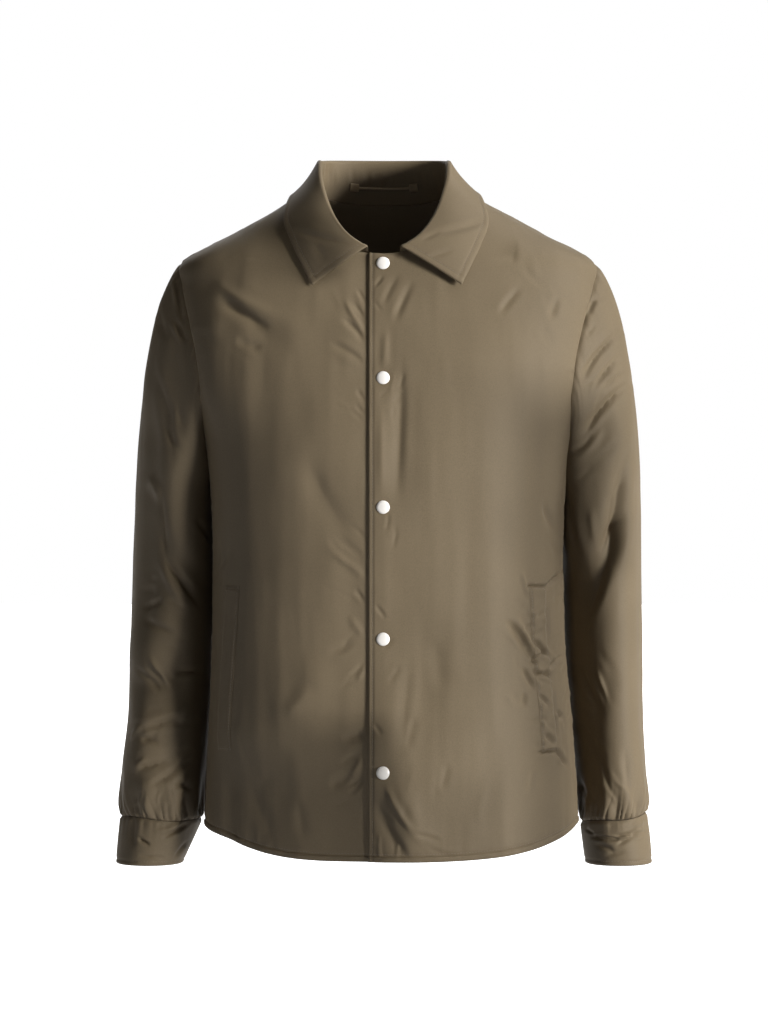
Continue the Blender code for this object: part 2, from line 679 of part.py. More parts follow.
def collar_lines(angle, side):
    """The collar's neck seam, fold line and outer edge at each angle round the neck."""
    seam = neckline(angle, side)
    inward = unit(-seam * np.array([1, 1, 0]))
    lean = STAND_LEAN * ease((angle - COLLAR_START) / STAND_LEAN_REACH)
    fold = seam + inward * lean[..., None]
    fold[..., 2] = fold_height(angle)
    shifted = ease((COLLAR_SHIFT_NONE - angle) / (COLLAR_SHIFT_NONE - COLLAR_SHIFT_FULL))
    x = side * EDGE.read("x", angle) + COLLAR_SHIFT * shifted
    height = EDGE.read("height", angle)
    front, back = torso_at(x, height, -1), torso_at(x, height, 1)
    edge = np.where((angle <= 90)[..., None], front, back)
    edge = edge + torso_normal(edge) * (FALL_CLEARANCE + CLOTH / 2)
    return seam, fold, edge


def collar_centre():
    """The middle of the collar's cloth. Columns run round the neck, rows from the seam to the outer edge."""
    front = np.linspace(COLLAR_START, 90, 2 * NECK_FRONT_STEPS + 1)
    back = np.linspace(90, 180, 2 * NECK_BACK_STEPS + 1)
    half = joined(front, back)
    angle = joined(half, half[::-1])
    side = np.where(np.arange(len(angle)) < len(half), RIGHT, LEFT)
    seam, fold, edge = collar_lines(angle, side)
    seam = halved(seam + neck_wall(seam) * CLOTH / 2, False)
    seam[..., 2] += 2 * SEAM_GAP
    rise, fall = unit(fold - seam), unit(edge - fold)
    over = unit(fall - rise * (fall * rise).sum(axis=-1, keepdims=True))
    turning = np.arccos(np.clip((fall * rise).sum(axis=-1, keepdims=True), -1, 1))
    rows = [seam + (fold - seam) * t for t in np.linspace(0, 1, STAND_ROWS + 1)]
    for t in np.linspace(0, 1, ROLL_ROWS + 1)[1:]:
        rolled = over * (1 - np.cos(turning * t)) + rise * np.sin(turning * t)
        rows.append(fold + ROLL_RADIUS * rolled)
    start, out = rows[-1], torso_normal(edge)
    bow = BOW.read("bow", angle)[:, None]
    for t in np.linspace(0, 1, FALL_ROWS + 1)[1:]:
        rows.append(start + (edge - start) * t + out * bow * arch(t))
    return np.array(rows)


def collar_grid():
    """The collar's upper face, from the neck side of the stand to the top of the fall, and its under face."""
    centre = collar_centre()
    normal = grid_normals(centre, False)
    neck_side = unit(-centre[0] * np.array([1, 1, 0]))
    normal *= np.sign((normal[1] * neck_side[1:2]).sum(axis=-1).mean())
    normal[0] = neck_wall(centre[0])
    return centre + normal * CLOTH / 2, centre - normal * CLOTH / 2


# What lies on the panels

def welt_grid(side):
    """A pocket welt: the front's own points, moved out."""
    heights = np.linspace(WELT_BOTTOM, WELT_TOP, WELT_ROWS + 1)
    edge_x = np.interp(heights, (WELT_BOTTOM, WELT_TOP), (WELT_BOTTOM_X, WELT_TOP_X))
    rows = []
    for height, x in zip(heights, edge_x):
        run = torso_at(np.linspace(side * x, side * (x + WELT_WIDTH), CURVE_SAMPLES), height, -1)
        along = np.concatenate([[0], np.cumsum(np.linalg.norm(np.diff(run, axis=0), axis=1))])
        wanted = np.linspace(0, WELT_WIDTH, WELT_COLUMNS + 1)
        rows.append(np.stack([np.interp(wanted, along, run[:, k]) for k in range(3)], axis=1))
    form = np.array(rows)
    normal = torso_normal(form)
    base = form + torso_folds(form, -1) + normal * LAY_GAP
    return base + normal * WELT_CLOTH, base


def snap_cap(name, height, finish, parent):
    """A domed metal cap, turned from a profile and seated square on the left front."""
    turn = np.arange(SNAP_SIDES) * 2 * np.pi / SNAP_SIDES
    place = torso_at(np.array(SNAP_X), np.array(height), -1)
    out = torso_normal(place)
    place = place + torso_folds(place, -1) + out * SNAP_SEAT
    right = unit(np.cross(np.array([0, 0, 1.0]), out))
    up = np.cross(out, right)
    round_out = right * np.cos(turn)[:, None] + up * np.sin(turn)[:, None]
    points = []
    for ring in SNAP_PROFILE:
        level = place + out * SNAP_RISE * ring.rise_share
        points += list(level + round_out * SNAP_RADIUS * ring.radius_share)
    points.append(place + out * SNAP_RISE)
    last = (len(SNAP_PROFILE) - 1) * SNAP_SIDES
    faces = [tuple(range(SNAP_SIDES))]
    for i in range(SNAP_SIDES):
        beside = (i + 1) % SNAP_SIDES
        for row in range(len(SNAP_PROFILE) - 1):
            a, b = row * SNAP_SIDES + i, row * SNAP_SIDES + beside
            faces.append((a, b, b + SNAP_SIDES, a + SNAP_SIDES))
        faces.append((last + i, last + beside, len(points) - 1))
    return solid(name, points, faces, finish, parent)


def loop_grid():
    """The hanger loop: a narrow tape whose ends lie on the collar stand and whose middle stands off."""
    reach = np.linspace(-1, 1, LOOP_ROWS + 1)
    side = np.where(reach < 0, RIGHT, LEFT)
    angle = 180 - np.degrees(np.arcsin(np.abs(reach) * LOOP_HALF_LENGTH / NECK_HALF_WIDTH))
    seam, fold, _ = collar_lines(angle, side)
    seam = seam + neck_wall(seam) * CLOTH / 2
    rise = unit(fold - seam)
    middle = seam + (fold - seam) * LOOP_STAND_SHARE
    inward = unit(np.cross(rise, np.gradient(middle, axis=0)))
    inward *= np.sign(-inward[:, 1:2])
    off = CLOTH / 2 + 2 * LAY_GAP + LOOP_BOW * ease((1 - np.abs(reach)) / LOOP_END_SHARE)[:, None]
    rows = [middle + rise * LOOP_WIDTH * share + inward * off for share in (-0.5, 0.5)]
    under = np.array(rows)
    return under + inward[None] * LOOP_THICKNESS, under


# The jacket

def build():
    for old in list(bpy.data.objects):
        bpy.data.objects.remove(old)
    shell = material("olive_brown_shell", SHELL_COLOUR, SHELL_ROUGHNESS, 0.0)
    metal = material("pale_snap_metal", METAL_COLOUR, METAL_ROUGHNESS, METAL_SHARE)
    jacket = bpy.data.objects.new("jacket", None)
    bpy.context.scene.collection.objects.link(jacket)
    wall("back", *back_grid(), shell, jacket)
    wall("hem_binding_back", *binding_grid(1, LEFT), shell, jacket)
    for side, word in ((LEFT, "left"), (RIGHT, "right")):
        below, chest = chest_cut(*front_grid(side))
        wall(f"front_{word}", *below, shell, jacket)
        wall(f"front_{word}_chest", *chest, shell, jacket)
        wall(f"hem_binding_front_{word}", *binding_grid(-1, side), shell, jacket)
        wall(f"sleeve_{word}", *sleeve_grid(side), shell, jacket, closed=True)
        wall(f"cuff_{word}", *cuff_grid(side), shell, jacket, closed=True)
        wall(f"pocket_welt_{word}", *welt_grid(side), shell, jacket)
    wall("collar", *collar_grid(), shell, jacket)
    wall("hanger_loop", *loop_grid(), shell, jacket)
    for number, height in enumerate(SNAP_HEIGHTS, start=1):
        snap_cap(f"snap_{number}", height, metal, jacket)


build()
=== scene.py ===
# %% [markdown]
# # A snap-button jacket, filled out with no wearer
# The jacket is light nylon cloth, cut in panels, sewn, and closed by five press snaps. The packed
# model has each panel as a plain wall. This lesson puts finer cloth in the place of every wall: the
# same form, with folds, puckered seams, rows of stitches and a woven finish. Sizes are in metres
# unless a table says millimetres. The front faces -Y, and the wearer's left is +X.

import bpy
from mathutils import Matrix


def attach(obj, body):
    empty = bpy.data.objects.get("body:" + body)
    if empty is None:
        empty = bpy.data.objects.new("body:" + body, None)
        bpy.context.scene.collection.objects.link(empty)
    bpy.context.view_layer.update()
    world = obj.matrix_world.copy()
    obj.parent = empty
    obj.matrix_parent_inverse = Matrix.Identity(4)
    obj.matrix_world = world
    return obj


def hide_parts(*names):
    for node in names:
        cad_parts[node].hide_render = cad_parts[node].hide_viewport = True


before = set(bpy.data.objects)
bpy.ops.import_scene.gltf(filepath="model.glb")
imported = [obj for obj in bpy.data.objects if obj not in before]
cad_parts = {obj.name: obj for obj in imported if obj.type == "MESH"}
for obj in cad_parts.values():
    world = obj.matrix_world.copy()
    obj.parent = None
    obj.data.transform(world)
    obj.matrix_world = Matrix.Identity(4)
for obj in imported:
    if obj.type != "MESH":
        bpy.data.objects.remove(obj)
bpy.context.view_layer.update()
print("CAD nodes:", len(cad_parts))

# %% Modules and common words
from collections import namedtuple

import bmesh
import bpy
import numpy as np
from mathutils import Vector

MM = 0.001
LEFT, RIGHT = 1, -1
SIDES = {LEFT: "left", RIGHT: "right"}
FRONT, BACK = -1, 1
scene = bpy.context.scene

# %% [markdown]
# ## The camera
# A product picture of a garment is taken from far off with a long lens, level with the middle of the
# garment, so that the shoulders and the hem keep their true sizes. The lens follows from the distance
# and from how much of the scene the tall side of the picture takes in.

# %% Camera
CAMERA_DISTANCE = 4.0
CAMERA_HEIGHT = -0.352
PICTURE_HEIGHT = 1.106
SENSOR_MM = 36

eye = bpy.data.cameras.new("camera")
eye.sensor_width = SENSOR_MM
eye.lens = SENSOR_MM * CAMERA_DISTANCE / PICTURE_HEIGHT
camera = bpy.data.objects.new("camera", eye)
camera.location = (0, -CAMERA_DISTANCE, CAMERA_HEIGHT)
camera.rotation_euler = (np.radians(90), 0, 0)
scene.collection.objects.link(camera)
scene.camera = camera
scene.view_settings.view_transform = "Standard"
print("lens:", round(eye.lens, 1), "mm")

# %% [markdown]
# ## Light and floor
# The key is a broad soft lamp far to the right and level with the jacket, so the sides of the folds that
# look left fall into shade. A second one, high on the right, lights the shoulder and traces the near
# sleeve. A weak one on the left keeps the far sleeve readable, and one behind lights the back. Flags are
# boards that stand between the key and the jacket, out of the camera's sight. Each one shades a strip of
# the cloth, softly, because the key is broad. The white room gives back a little light from all sides.
# The floor lies where a standing wearer's feet would be, pale and plain, and it glows so that it stays
# white away from the lamps.

# %% Lamps
# In degrees: turn to the right of the front, rise above level, and softness, which is how wide it looks
Lamp = namedtuple("Lamp", "name turn rise softness strength")
LAMPS = (
    Lamp("key", 55, 0, 20, 9.2),
    Lamp("shoulder", 100, 52, 30, 2.0),
    Lamp("far_side", -65, -10, 40, 0.80),
    Lamp("behind", 190, 30, 40, 0.8),
)

for lamp in LAMPS:
    light = bpy.data.lights.new(lamp.name, "SUN")
    light.energy = lamp.strength
    light.angle = np.radians(lamp.softness)
    turn, rise = np.radians((lamp.turn, lamp.rise))
    towards = Vector((np.sin(turn) * np.cos(rise), -np.cos(turn) * np.cos(rise), np.sin(rise)))
    stand = bpy.data.objects.new(lamp.name, light)
    stand.rotation_euler = towards.to_track_quat("Z", "Y").to_euler()
    scene.collection.objects.link(stand)
print("lamps:", ", ".join(lamp.name for lamp in LAMPS))

# %% Flags
# Distance is from the jacket's middle towards the key. Edge and width go level across the light, away
# from the camera
Flag = namedtuple("Flag", "name distance edge width top bottom")
FLAGS = (
    Flag("flag_side", 0.53, 0.012, 0.062, -0.20, -0.76),
    Flag("flag_collar", 0.10, -0.123, 0.020, -0.025, -0.100),
    Flag("flag_lap", 0.23, -0.151, 0.035, -0.56, -0.82),
    Flag("flag_hem", 0.42, -0.080, 0.019, -0.62, -0.86),
    Flag("flag_sleeve", 0.47, 0.095, 0.022, -0.22, -0.41),
)
key_turn = np.radians(LAMPS[0].turn)
to_key = np.array([np.sin(key_turn), -np.cos(key_turn)])
across_key = np.array([np.cos(key_turn), np.sin(key_turn)])


def flat_board(name, corners):
    """An object with one flat face between four corners."""
    mesh = bpy.data.meshes.new(name)
    mesh.from_pydata(corners, [], [(0, 1, 2, 3)])
    made = bpy.data.objects.new(name, mesh)
    scene.collection.objects.link(made)
    return made


for flag in FLAGS:
    near = to_key * flag.distance + across_key * flag.edge
    far = to_key * flag.distance + across_key * (flag.edge + flag.width)
    lower, upper = [(*near, flag.bottom), (*far, flag.bottom)], [(*far, flag.top), (*near, flag.top)]
    board = flat_board(flag.name, lower + upper)
    board.visible_camera = board.visible_diffuse = board.visible_glossy = False
print("flags:", len(FLAGS))

# %% Room and floor
ROOM_COLOUR, ROOM_STRENGTH = (1, 0.98, 0.95, 1), 0.07
WHITE = (1, 1, 1, 1)
FLOOR_HEIGHT, FLOOR_REACH, FLOOR_GLOW = -1.45, 40.0, 1.0
FLOOR_COLOUR, FLOOR_ROUGHNESS = (0.92, 0.92, 0.92, 1), 0.9

room = bpy.data.worlds.new("white_room")
room.use_nodes = True
scene.world = room
tree = room.node_tree
seen = tree.nodes["Background"]
seen.inputs["Color"].default_value = WHITE
glow = tree.nodes.new("ShaderNodeBackground")
glow.inputs["Color"].default_value = ROOM_COLOUR
glow.inputs["Strength"].default_value = ROOM_STRENGTH
path = tree.nodes.new("ShaderNodeLightPath")
choice = tree.nodes.new("ShaderNodeMixShader")
tree.links.new(path.outputs["Is Camera Ray"], choice.inputs["Fac"])
tree.links.new(glow.outputs["Background"], choice.inputs[1])
tree.links.new(seen.outputs["Background"], choice.inputs[2])
tree.links.new(choice.outputs["Shader"], tree.nodes["World Output"].inputs["Surface"])

pale = bpy.data.materials.new("pale_floor")
pale.use_nodes = True
pale_shader = pale.node_tree.nodes["Principled BSDF"]
pale_shader.inputs["Base Color"].default_value = FLOOR_COLOUR
pale_shader.inputs["Roughness"].default_value = FLOOR_ROUGHNESS
pale_shader.inputs["Emission Color"].default_value = WHITE
pale_shader.inputs["Emission Strength"].default_value = FLOOR_GLOW
square = ((-1, -1), (1, -1), (1, 1), (-1, 1))
floor = flat_board("floor", [(x * FLOOR_REACH, y * FLOOR_REACH, FLOOR_HEIGHT) for x, y in square])
floor.data.materials.append(pale)
floor.visible_diffuse = False
print("floor at", FLOOR_HEIGHT)

# %% [markdown]
# ## Finishes
# The shell is plain-woven nylon: matt, with a faint soft sheen where it turns away. Its colour is an
# olive brown that is never quite even, so two sizes of noise shift the tone a little, and two crossed
# waves along the cloth's own grain raise the threads of the weave. The stitches are a shade lighter
# than the cloth, and the snap caps carry a pale satin enamel. The hanger loop's tape is the same cloth
# painted about twice as light, a painted highlight for the light it catches inside the shaded collar.

# %% Finish tables
Finish = namedtuple("Finish", "name colour roughness")
SHELL = Finish("nylon_shell", (0.146, 0.111, 0.067), 0.62)
# The loop tape's colour is painted about twice as light as the shell's: a painted highlight for the light
# the loop catches in the shade inside the collar
LIT_TAPE = Finish("loop_tape_lit", (0.30, 0.235, 0.155), 0.62)
THREAD = Finish("sewing_thread", (0.150, 0.116, 0.076), 0.55)
ENAMEL = Finish("snap_enamel", (0.80, 0.765, 0.72), 0.32)
ENAMEL_COAT, ENAMEL_COAT_ROUGHNESS = 0.25, 0.2
TONE_SIZE, GRAIN_SIZE = 90 * MM, 1.1 * MM
TONE_RANGE, GRAIN_RANGE = 0.06, 0.10
NOISE_DETAIL, NOISE_LOW, NOISE_HIGH = 2, 0.25, 0.75
# A wave texture with a scale of 1 / WAVE_UNIT has bands about one metre wide
WEAVE_SIZE, WAVE_UNIT, WEAVE_STRENGTH, WEAVE_HEIGHT = 0.7 * MM, 6.3, 0.35, 0.1 * MM
CLOTH_SPECULAR, CLOTH_SHEEN, SHEEN_ROUGHNESS = 0.16, 0.04, 0.45


def shader_of(finish):
    """A new material with a finish's colour and roughness, and its tree and shader for more nodes."""
    made = bpy.data.materials.new(finish.name)
    made.use_nodes = True
    shader = made.node_tree.nodes["Principled BSDF"]
    shader.inputs["Base Color"].default_value = (*finish.colour, 1)
    shader.inputs["Roughness"].default_value = finish.roughness
    return made, made.node_tree, shader


def noise_tone(tree, size, spread):
    """A factor about 1 that wanders by a spread, in patches of one size."""
    place = tree.nodes.new("ShaderNodeTexCoord")
    noise = tree.nodes.new("ShaderNodeTexNoise")
    noise.inputs["Scale"].default_value = 1 / size
    noise.inputs["Detail"].default_value = NOISE_DETAIL
    tree.links.new(place.outputs["Object"], noise.inputs["Vector"])
    scaled = tree.nodes.new("ShaderNodeMapRange")
    scaled.inputs["From Min"].default_value = NOISE_LOW
    scaled.inputs["From Max"].default_value = NOISE_HIGH
    scaled.inputs["To Min"].default_value = 1 - spread
    scaled.inputs["To Max"].default_value = 1 + spread
    tree.links.new(noise.outputs["Fac"], scaled.inputs["Value"])
    return scaled.outputs["Result"]


def product(tree, first, second):
    """One value times another, as a node."""
    times = tree.nodes.new("ShaderNodeMath")
    times.operation = "MULTIPLY"
    tree.links.new(first, times.inputs[0])
    tree.links.new(second, times.inputs[1])
    return times.outputs["Value"]


def weave_height(tree):
    """Threads that run both ways along the cloth's grain."""
    grain = tree.nodes.new("ShaderNodeUVMap")
    grain.uv_map = "grain"
    threads = []
    for direction in ("X", "Y"):
        wave = tree.nodes.new("ShaderNodeTexWave")
        wave.bands_direction = direction
        wave.inputs["Scale"].default_value = 1 / (WEAVE_SIZE * WAVE_UNIT)
        tree.links.new(grain.outputs["UV"], wave.inputs["Vector"])
        threads.append(wave.outputs["Fac"])
    return product(tree, *threads)


def cloth_finish(finish):
    """A woven material: a colour of uneven tone, raised threads and a faint sheen."""
    made, tree, shader = shader_of(finish)
    patches = noise_tone(tree, TONE_SIZE, TONE_RANGE)
    tone = product(tree, patches, noise_tone(tree, GRAIN_SIZE, GRAIN_RANGE))
    tint = tree.nodes.new("ShaderNodeVectorMath")
    tint.operation = "SCALE"
    tint.inputs[0].default_value = finish.colour
    tree.links.new(tone, tint.inputs["Scale"])
    tree.links.new(tint.outputs["Vector"], shader.inputs["Base Color"])
    bump = tree.nodes.new("ShaderNodeBump")
    bump.inputs["Strength"].default_value = WEAVE_STRENGTH
    bump.inputs["Distance"].default_value = WEAVE_HEIGHT
    tree.links.new(weave_height(tree), bump.inputs["Height"])
    tree.links.new(bump.outputs["Normal"], shader.inputs["Normal"])
    shader.inputs["Specular IOR Level"].default_value = CLOTH_SPECULAR
    shader.inputs["Sheen Weight"].default_value = CLOTH_SHEEN
    shader.inputs["Sheen Roughness"].default_value = SHEEN_ROUGHNESS
    return made


# %% Finishes
shell, tape = cloth_finish(SHELL), cloth_finish(LIT_TAPE)
thread, _, _ = shader_of(THREAD)
enamel, _, enamel_shader = shader_of(ENAMEL)
enamel_shader.inputs["Coat Weight"].default_value = ENAMEL_COAT
enamel_shader.inputs["Coat Roughness"].default_value = ENAMEL_COAT_ROUGHNESS
print("finishes:", shell.name, tape.name, thread.name, enamel.name)

# %% [markdown]
# ## Curves and small mathematics
# Sewn panels are surfaces between boundary curves. A table of sections is read as smooth curves, a
# curve is cut at any share of its length, and a patch fills the space between four curves.

# %% Curves
CURVE_SAMPLES = 600
TINY = 1e-12
EDGE_STEPS = np.array([0, 0.25, 0.6])

# The axes of a grid: one row lies above the other, and columns follow each other across
UP, ACROSS = 0, 1


class Profile:
    """Smooth curves through the rows of a table, read at any value of its first column."""

    def __init__(self, rows):
        ordered = sorted(rows)
        names = ordered[0]._fields
        self.at = np.array([row[0] for row in ordered])
        self.columns = {name: np.array([getattr(row, name) for row in ordered]) for name in names}
        self.slopes = {name: np.gradient(values, self.at) for name, values in self.columns.items()}

    def read(self, name, where):
        """The value of a column at each place, held at the ends of the table."""
        where = np.clip(where, self.at[0], self.at[-1])
        values, slopes = self.columns[name], self.slopes[name]
        i = np.clip(np.searchsorted(self.at, where, side="right") - 1, 0, len(self.at) - 2)
        span = self.at[i + 1] - self.at[i]
        t = (where - self.at[i]) / span
        return bridge(t, values[i], slopes[i] * span, values[i + 1], slopes[i + 1] * span)


def bridge(t, start, leave, end, arrive):
    """A curve from start to end with the two given directions."""
    return (
        start * (1 + 2 * t) * (1 - t) ** 2
        + leave * t * (1 - t) ** 2
        + end * t**2 * (3 - 2 * t)
        - arrive * t**2 * (1 - t)
    )


def ease(t):
    """0 to 1 with flat ends."""
    t = np.clip(t, 0, 1)
    return t * t * (3 - 2 * t)


def arch(t):
    """0 at both ends and 1 in the middle."""
    return 4 * t * (1 - t)


def bell(t):
    """1 in the middle, falling smoothly to nothing on both sides."""
    return np.exp(-(t**2))


def unit(vectors):
    """The same directions with a length of 1."""
    return vectors / np.maximum(np.linalg.norm(vectors, axis=-1, keepdims=True), TINY)


def stack(x, y, z):
    """Points from their three coordinates, of which some may be single numbers."""
    return np.stack(np.broadcast_arrays(x, y, z), axis=-1).astype(float)


def run_length(grid, axis=UP):
    """How far each point lies from the first one, along the grid's own lines."""
    steps = np.linalg.norm(np.diff(grid, axis=axis), axis=-1)
    start = np.zeros_like(np.take(steps, [0], axis=axis))
    return np.concatenate([start, np.cumsum(steps, axis=axis)], axis=axis)


def cut_at(points, shares):
    """The points of a curve at shares of its length."""
    along = run_length(points)
    return np.stack([np.interp(shares * along[-1], along, points[:, k]) for k in range(3)], axis=1)


def patch(bottom, top, start, end, across, up, dip=0.0):
    """A surface between four boundary curves, whose rows sag between their ends by the dip."""
    across, up = across[None, :, None], up[:, None, None]
    sagging = up - dip * arch(across) * arch(up)
    corners = (
        (1 - up) * ((1 - across) * bottom[0] + across * bottom[-1])
        + up * ((1 - across) * top[0] + across * top[-1])
    )
    ruled_up = (1 - sagging) * bottom[None] + sagging * top[None]
    ruled_across = (1 - across) * start[:, None] + across * end[:, None]
    return ruled_up + ruled_across - corners


def grid_normals(grid, closed):
    """Unit normals of a grid of points. With closed, the columns run round a tube."""
    if closed:
        across = np.roll(grid, -1, axis=ACROSS) - np.roll(grid, 1, axis=ACROSS)
    else:
        across = np.gradient(grid, axis=ACROSS)
    return unit(np.cross(across, np.gradient(grid, axis=UP)))


def edge_shares(count, fine, both=False):
    """Even shares from 0 to 1, with a few close ones at the edge so that it can be rounded."""
    shares = np.concatenate([EDGE_STEPS * fine, np.linspace(fine, 1, count - 2)])
    if both:
        shares = np.concatenate([shares[shares < 0.5], [0.5], 1 - shares[shares < 0.5][::-1]])
    return shares


print("curves ready")

# %% [markdown]
# ## Sewing a grid of points into cloth
# A cloth piece is a closed thin wall: a fine outer grid, an inner grid with half as many points each
# way, and strips that close the rims. The cloth's grain is a second map, measured in metres along the
# piece, so the weave keeps its size wherever the cloth goes.

# %% Cloth walls
CLOTH = 2.2 * MM
SHARP_DEGREES = 60
pieces = {}


def grid_index(rows, columns, closed, first):
    """The numbers of a grid's points. With closed, the first column comes again at the end."""
    index = np.arange(rows * columns).reshape(rows, columns) + first
    return np.concatenate([index, index[:, :1]], axis=1) if closed else index


def quads(index):
    """The four-sided faces between the points of a grid."""
    corners = (index[:-1, :-1], index[:-1, 1:], index[1:, 1:], index[1:, :-1])
    return np.stack(corners, axis=-1).reshape(-1, 4)


def rim_strip(fine, coarse):
    """Triangles between a rim of the outer grid and the same rim with half the points."""
    a, b, c = fine[:-1:2], fine[1::2], fine[2::2]
    low, high = coarse[:-1], coarse[1:]
    threes = ((a, b, low), (b, c, high), (b, high, low))
    return np.concatenate([np.stack(three, axis=-1) for three in threes])


def make_piece(name, points, faces, finish, slot, *nodes):
    """One named object from points and faces, turned outwards, in the place of its CAD nodes."""
    mesh = bpy.data.meshes.new(name)
    mesh.from_pydata(points, [], faces)
    form = bmesh.new()
    form.from_mesh(mesh)
    bmesh.ops.recalc_face_normals(form, faces=form.faces)
    form.to_mesh(mesh)
    form.free()
    mesh.shade_smooth()
    mesh.set_sharp_from_angle(angle=np.radians(SHARP_DEGREES))
    mesh.materials.append(finish)
    made = bpy.data.objects.new(name, mesh)
    scene.collection.objects.link(made)
    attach(made, "root")
    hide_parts(*nodes)
    pieces[name] = made
    return made


def lay_grain(mesh, grain, round_length):
    """Writes the grain map, and carries it across the join of a tube."""
    corner_point = np.zeros(len(mesh.loops), int)
    mesh.loops.foreach_get("vertex_index", corner_point)
    first = np.zeros(len(mesh.polygons), int)
    mesh.polygons.foreach_get("loop_start", first)
    place = grain[corner_point]
    if round_length:
        count = np.diff(np.append(first, len(corner_point)))
        widest = np.repeat(np.maximum.reduceat(place[:, 0], first), count)
        place[(widest - place[:, 0]) > round_length / 2, 0] += round_length
    layer = mesh.uv_layers.new(name="grain")
    layer.data.foreach_set("uv", place.astype(np.float32).ravel())


def sew(name, outer, inner, *nodes, closed=False, finish=shell):
    """A cloth wall from an outer grid and the same grid moved inwards, with half its points each way."""
    inner = inner[::2, ::2]
    rows, columns = outer.shape[:2]
    outer_index = grid_index(rows, columns, closed, 0)
    inner_index = grid_index(*inner.shape[:2], closed, rows * columns)
    rims = [(outer_index[row], inner_index[row]) for row in (0, -1)]
    if not closed:
        rims += [(outer_index[:, column], inner_index[:, column]) for column in (0, -1)]
    strips = np.concatenate([rim_strip(*rim) for rim in rims])
    faces = quads(outer_index).tolist() + quads(inner_index)[:, ::-1].tolist() + strips.tolist()
    points = np.concatenate([outer.reshape(-1, 3), inner.reshape(-1, 3)])
    made = make_piece(f"{name}_cloth", points.tolist(), faces, finish, "shell_cloth", *nodes)
    across = run_length(outer, ACROSS)
    grain = np.stack([across, run_length(outer, UP)], axis=-1)
    round_length = 0.0
    if closed:
        join = np.linalg.norm(outer[:, -1] - outer[:, 0], axis=-1)
        round_length = float(across[:, -1].max() + join.max())
    both_faces = np.concatenate([grain.reshape(-1, 2), grain[::2, ::2].reshape(-1, 2)])
    lay_grain(made.data, both_faces, round_length)
    print(name, "triangles:", sum(len(face.vertices) - 2 for face in made.data.polygons))
    return made


print("cloth is", round(CLOTH / MM, 1), "mm thick")

# %% [markdown]
# ## How cloth moves: creases, swells, seams and edges
# A crease is a line with a soft trough across it and two low lips beside it, and it dies away at both
# ends. Each one is listed in a table, in millimetres as seen from the front. Where the cloth is
# crushed, seeded draws scatter small creases round the places of a second table. A fold is larger and
# softer. Besides, cloth is never flat: slow swells run through it. A sewn seam draws it into a groove
# with short uneven puckers, and a turned edge is rounded, with a groove under its row of stitches.

# %% Creases
# A crease runs from x0, z0 to x1, z1. The bow bends it, and the lean makes it wider on one side
Crease = namedtuple("Crease", "x0 z0 x1 z1 bow width depth lean")
CREASE_END = 0.38
CREASE_LIPS, CREASE_SHARPNESS = 0.9, 0.5
CREASE_CRISP, CREASE_NOSE, CREASE_SKIRT = 1.7, 0.03, 2.5


def trough(t):
    """Across a crease: 1 along its line, where the cloth turns quickly, and a low lip on each side."""
    crisp = np.exp(-CREASE_CRISP * (np.sqrt(t**2 + CREASE_NOSE) - np.sqrt(CREASE_NOSE)))
    soft = (1 - CREASE_SHARPNESS - CREASE_LIPS * t**2) * bell(t)
    return CREASE_SHARPNESS * crisp * bell(t / CREASE_SKIRT) + soft


def along_and_aside(across, up, row):
    """Where each point lies beside a row's line: as a share along it, and as a distance aside."""
    dx, dz = row.x1 - row.x0, row.z1 - row.z0
    length = np.hypot(dx, dz)
    along = ((across - row.x0) * dx + (up - row.z0) * dz) / length**2
    return along, ((across - row.x0) * dz - (up - row.z0) * dx) / length


def crease_lift(across, up, table):
    """How far the cloth stands out for a table of creases. A positive depth is a trough."""
    lift = np.zeros(np.shape(across))
    for row in table:
        along, aside = along_and_aside(across / MM, up / MM, row)
        aside = aside - row.bow * arch(np.clip(along, 0, 1))
        scaled = aside / (row.width * np.where(aside > 0, 1 + row.lean, 1 - row.lean))
        fade = ease(along / CREASE_END) * ease((1 - along) / CREASE_END)
        lift = lift - row.depth * MM * trough(scaled) * fade
    return lift


print("creases fade over", CREASE_END, "of their length at each end")

# %% Small creases
# A rumple is a place with its reach, the creases' turn and its spread, and their number and size
Rumple = namedtuple("Rumple", "x z reach_x reach_z turn spread count length width depth")
RUMPLE_HALF, RUMPLE_WIDTH = (0.35, 0.75), (0.7, 1.3)
RUMPLE_DEPTH, RUMPLE_BOW = (-0.7, 1.0), (-0.2, 0.2)


def scattered(rumples, seed):
    """Small creases round each place of a table, as uneven in turn, length and depth as crushed cloth.

    A table is in millimetres and degrees. The ranges above are shares of its lengths, widths and depths.
    """
    draw = np.random.default_rng(seed)
    made = []
    for row in rumples:
        for _ in range(row.count):
            x = row.x + row.reach_x * draw.uniform(-1, 1)
            z = row.z + row.reach_z * draw.uniform(-1, 1)
            turn = np.radians(row.turn + row.spread * draw.uniform(-1, 1))
            half = row.length * draw.uniform(*RUMPLE_HALF)
            width = row.width * draw.uniform(*RUMPLE_WIDTH)
            depth = row.depth * draw.uniform(*RUMPLE_DEPTH)
            bow = half * draw.uniform(*RUMPLE_BOW)
            dx, dz = half * np.cos(turn), half * np.sin(turn)
            made.append(Crease(x - dx, z - dz, x + dx, z + dz, bow, width, depth, lean=0.0))
    return tuple(made)


print("small creases reach", RUMPLE_HALF, "of their table's length each way")

# %% Folds and swells
# Folds are in metres. Swells are in millimetres, and the stretch draws them out upwards
Fold = namedtuple("Fold", "x0 z0 x1 z1 width height")
FOLD_END = 1 / 3
LATTICE, RIPPLE_COUNT = 32, 997
Swell = namedtuple("Swell", "size stretch height")
SWELLS = (
    Swell(70, 1.0, 0.9),
    Swell(18, 6.0, 0.75),
    Swell(22, 1.0, 0.22),
    Swell(8, 5.0, 0.14),
)


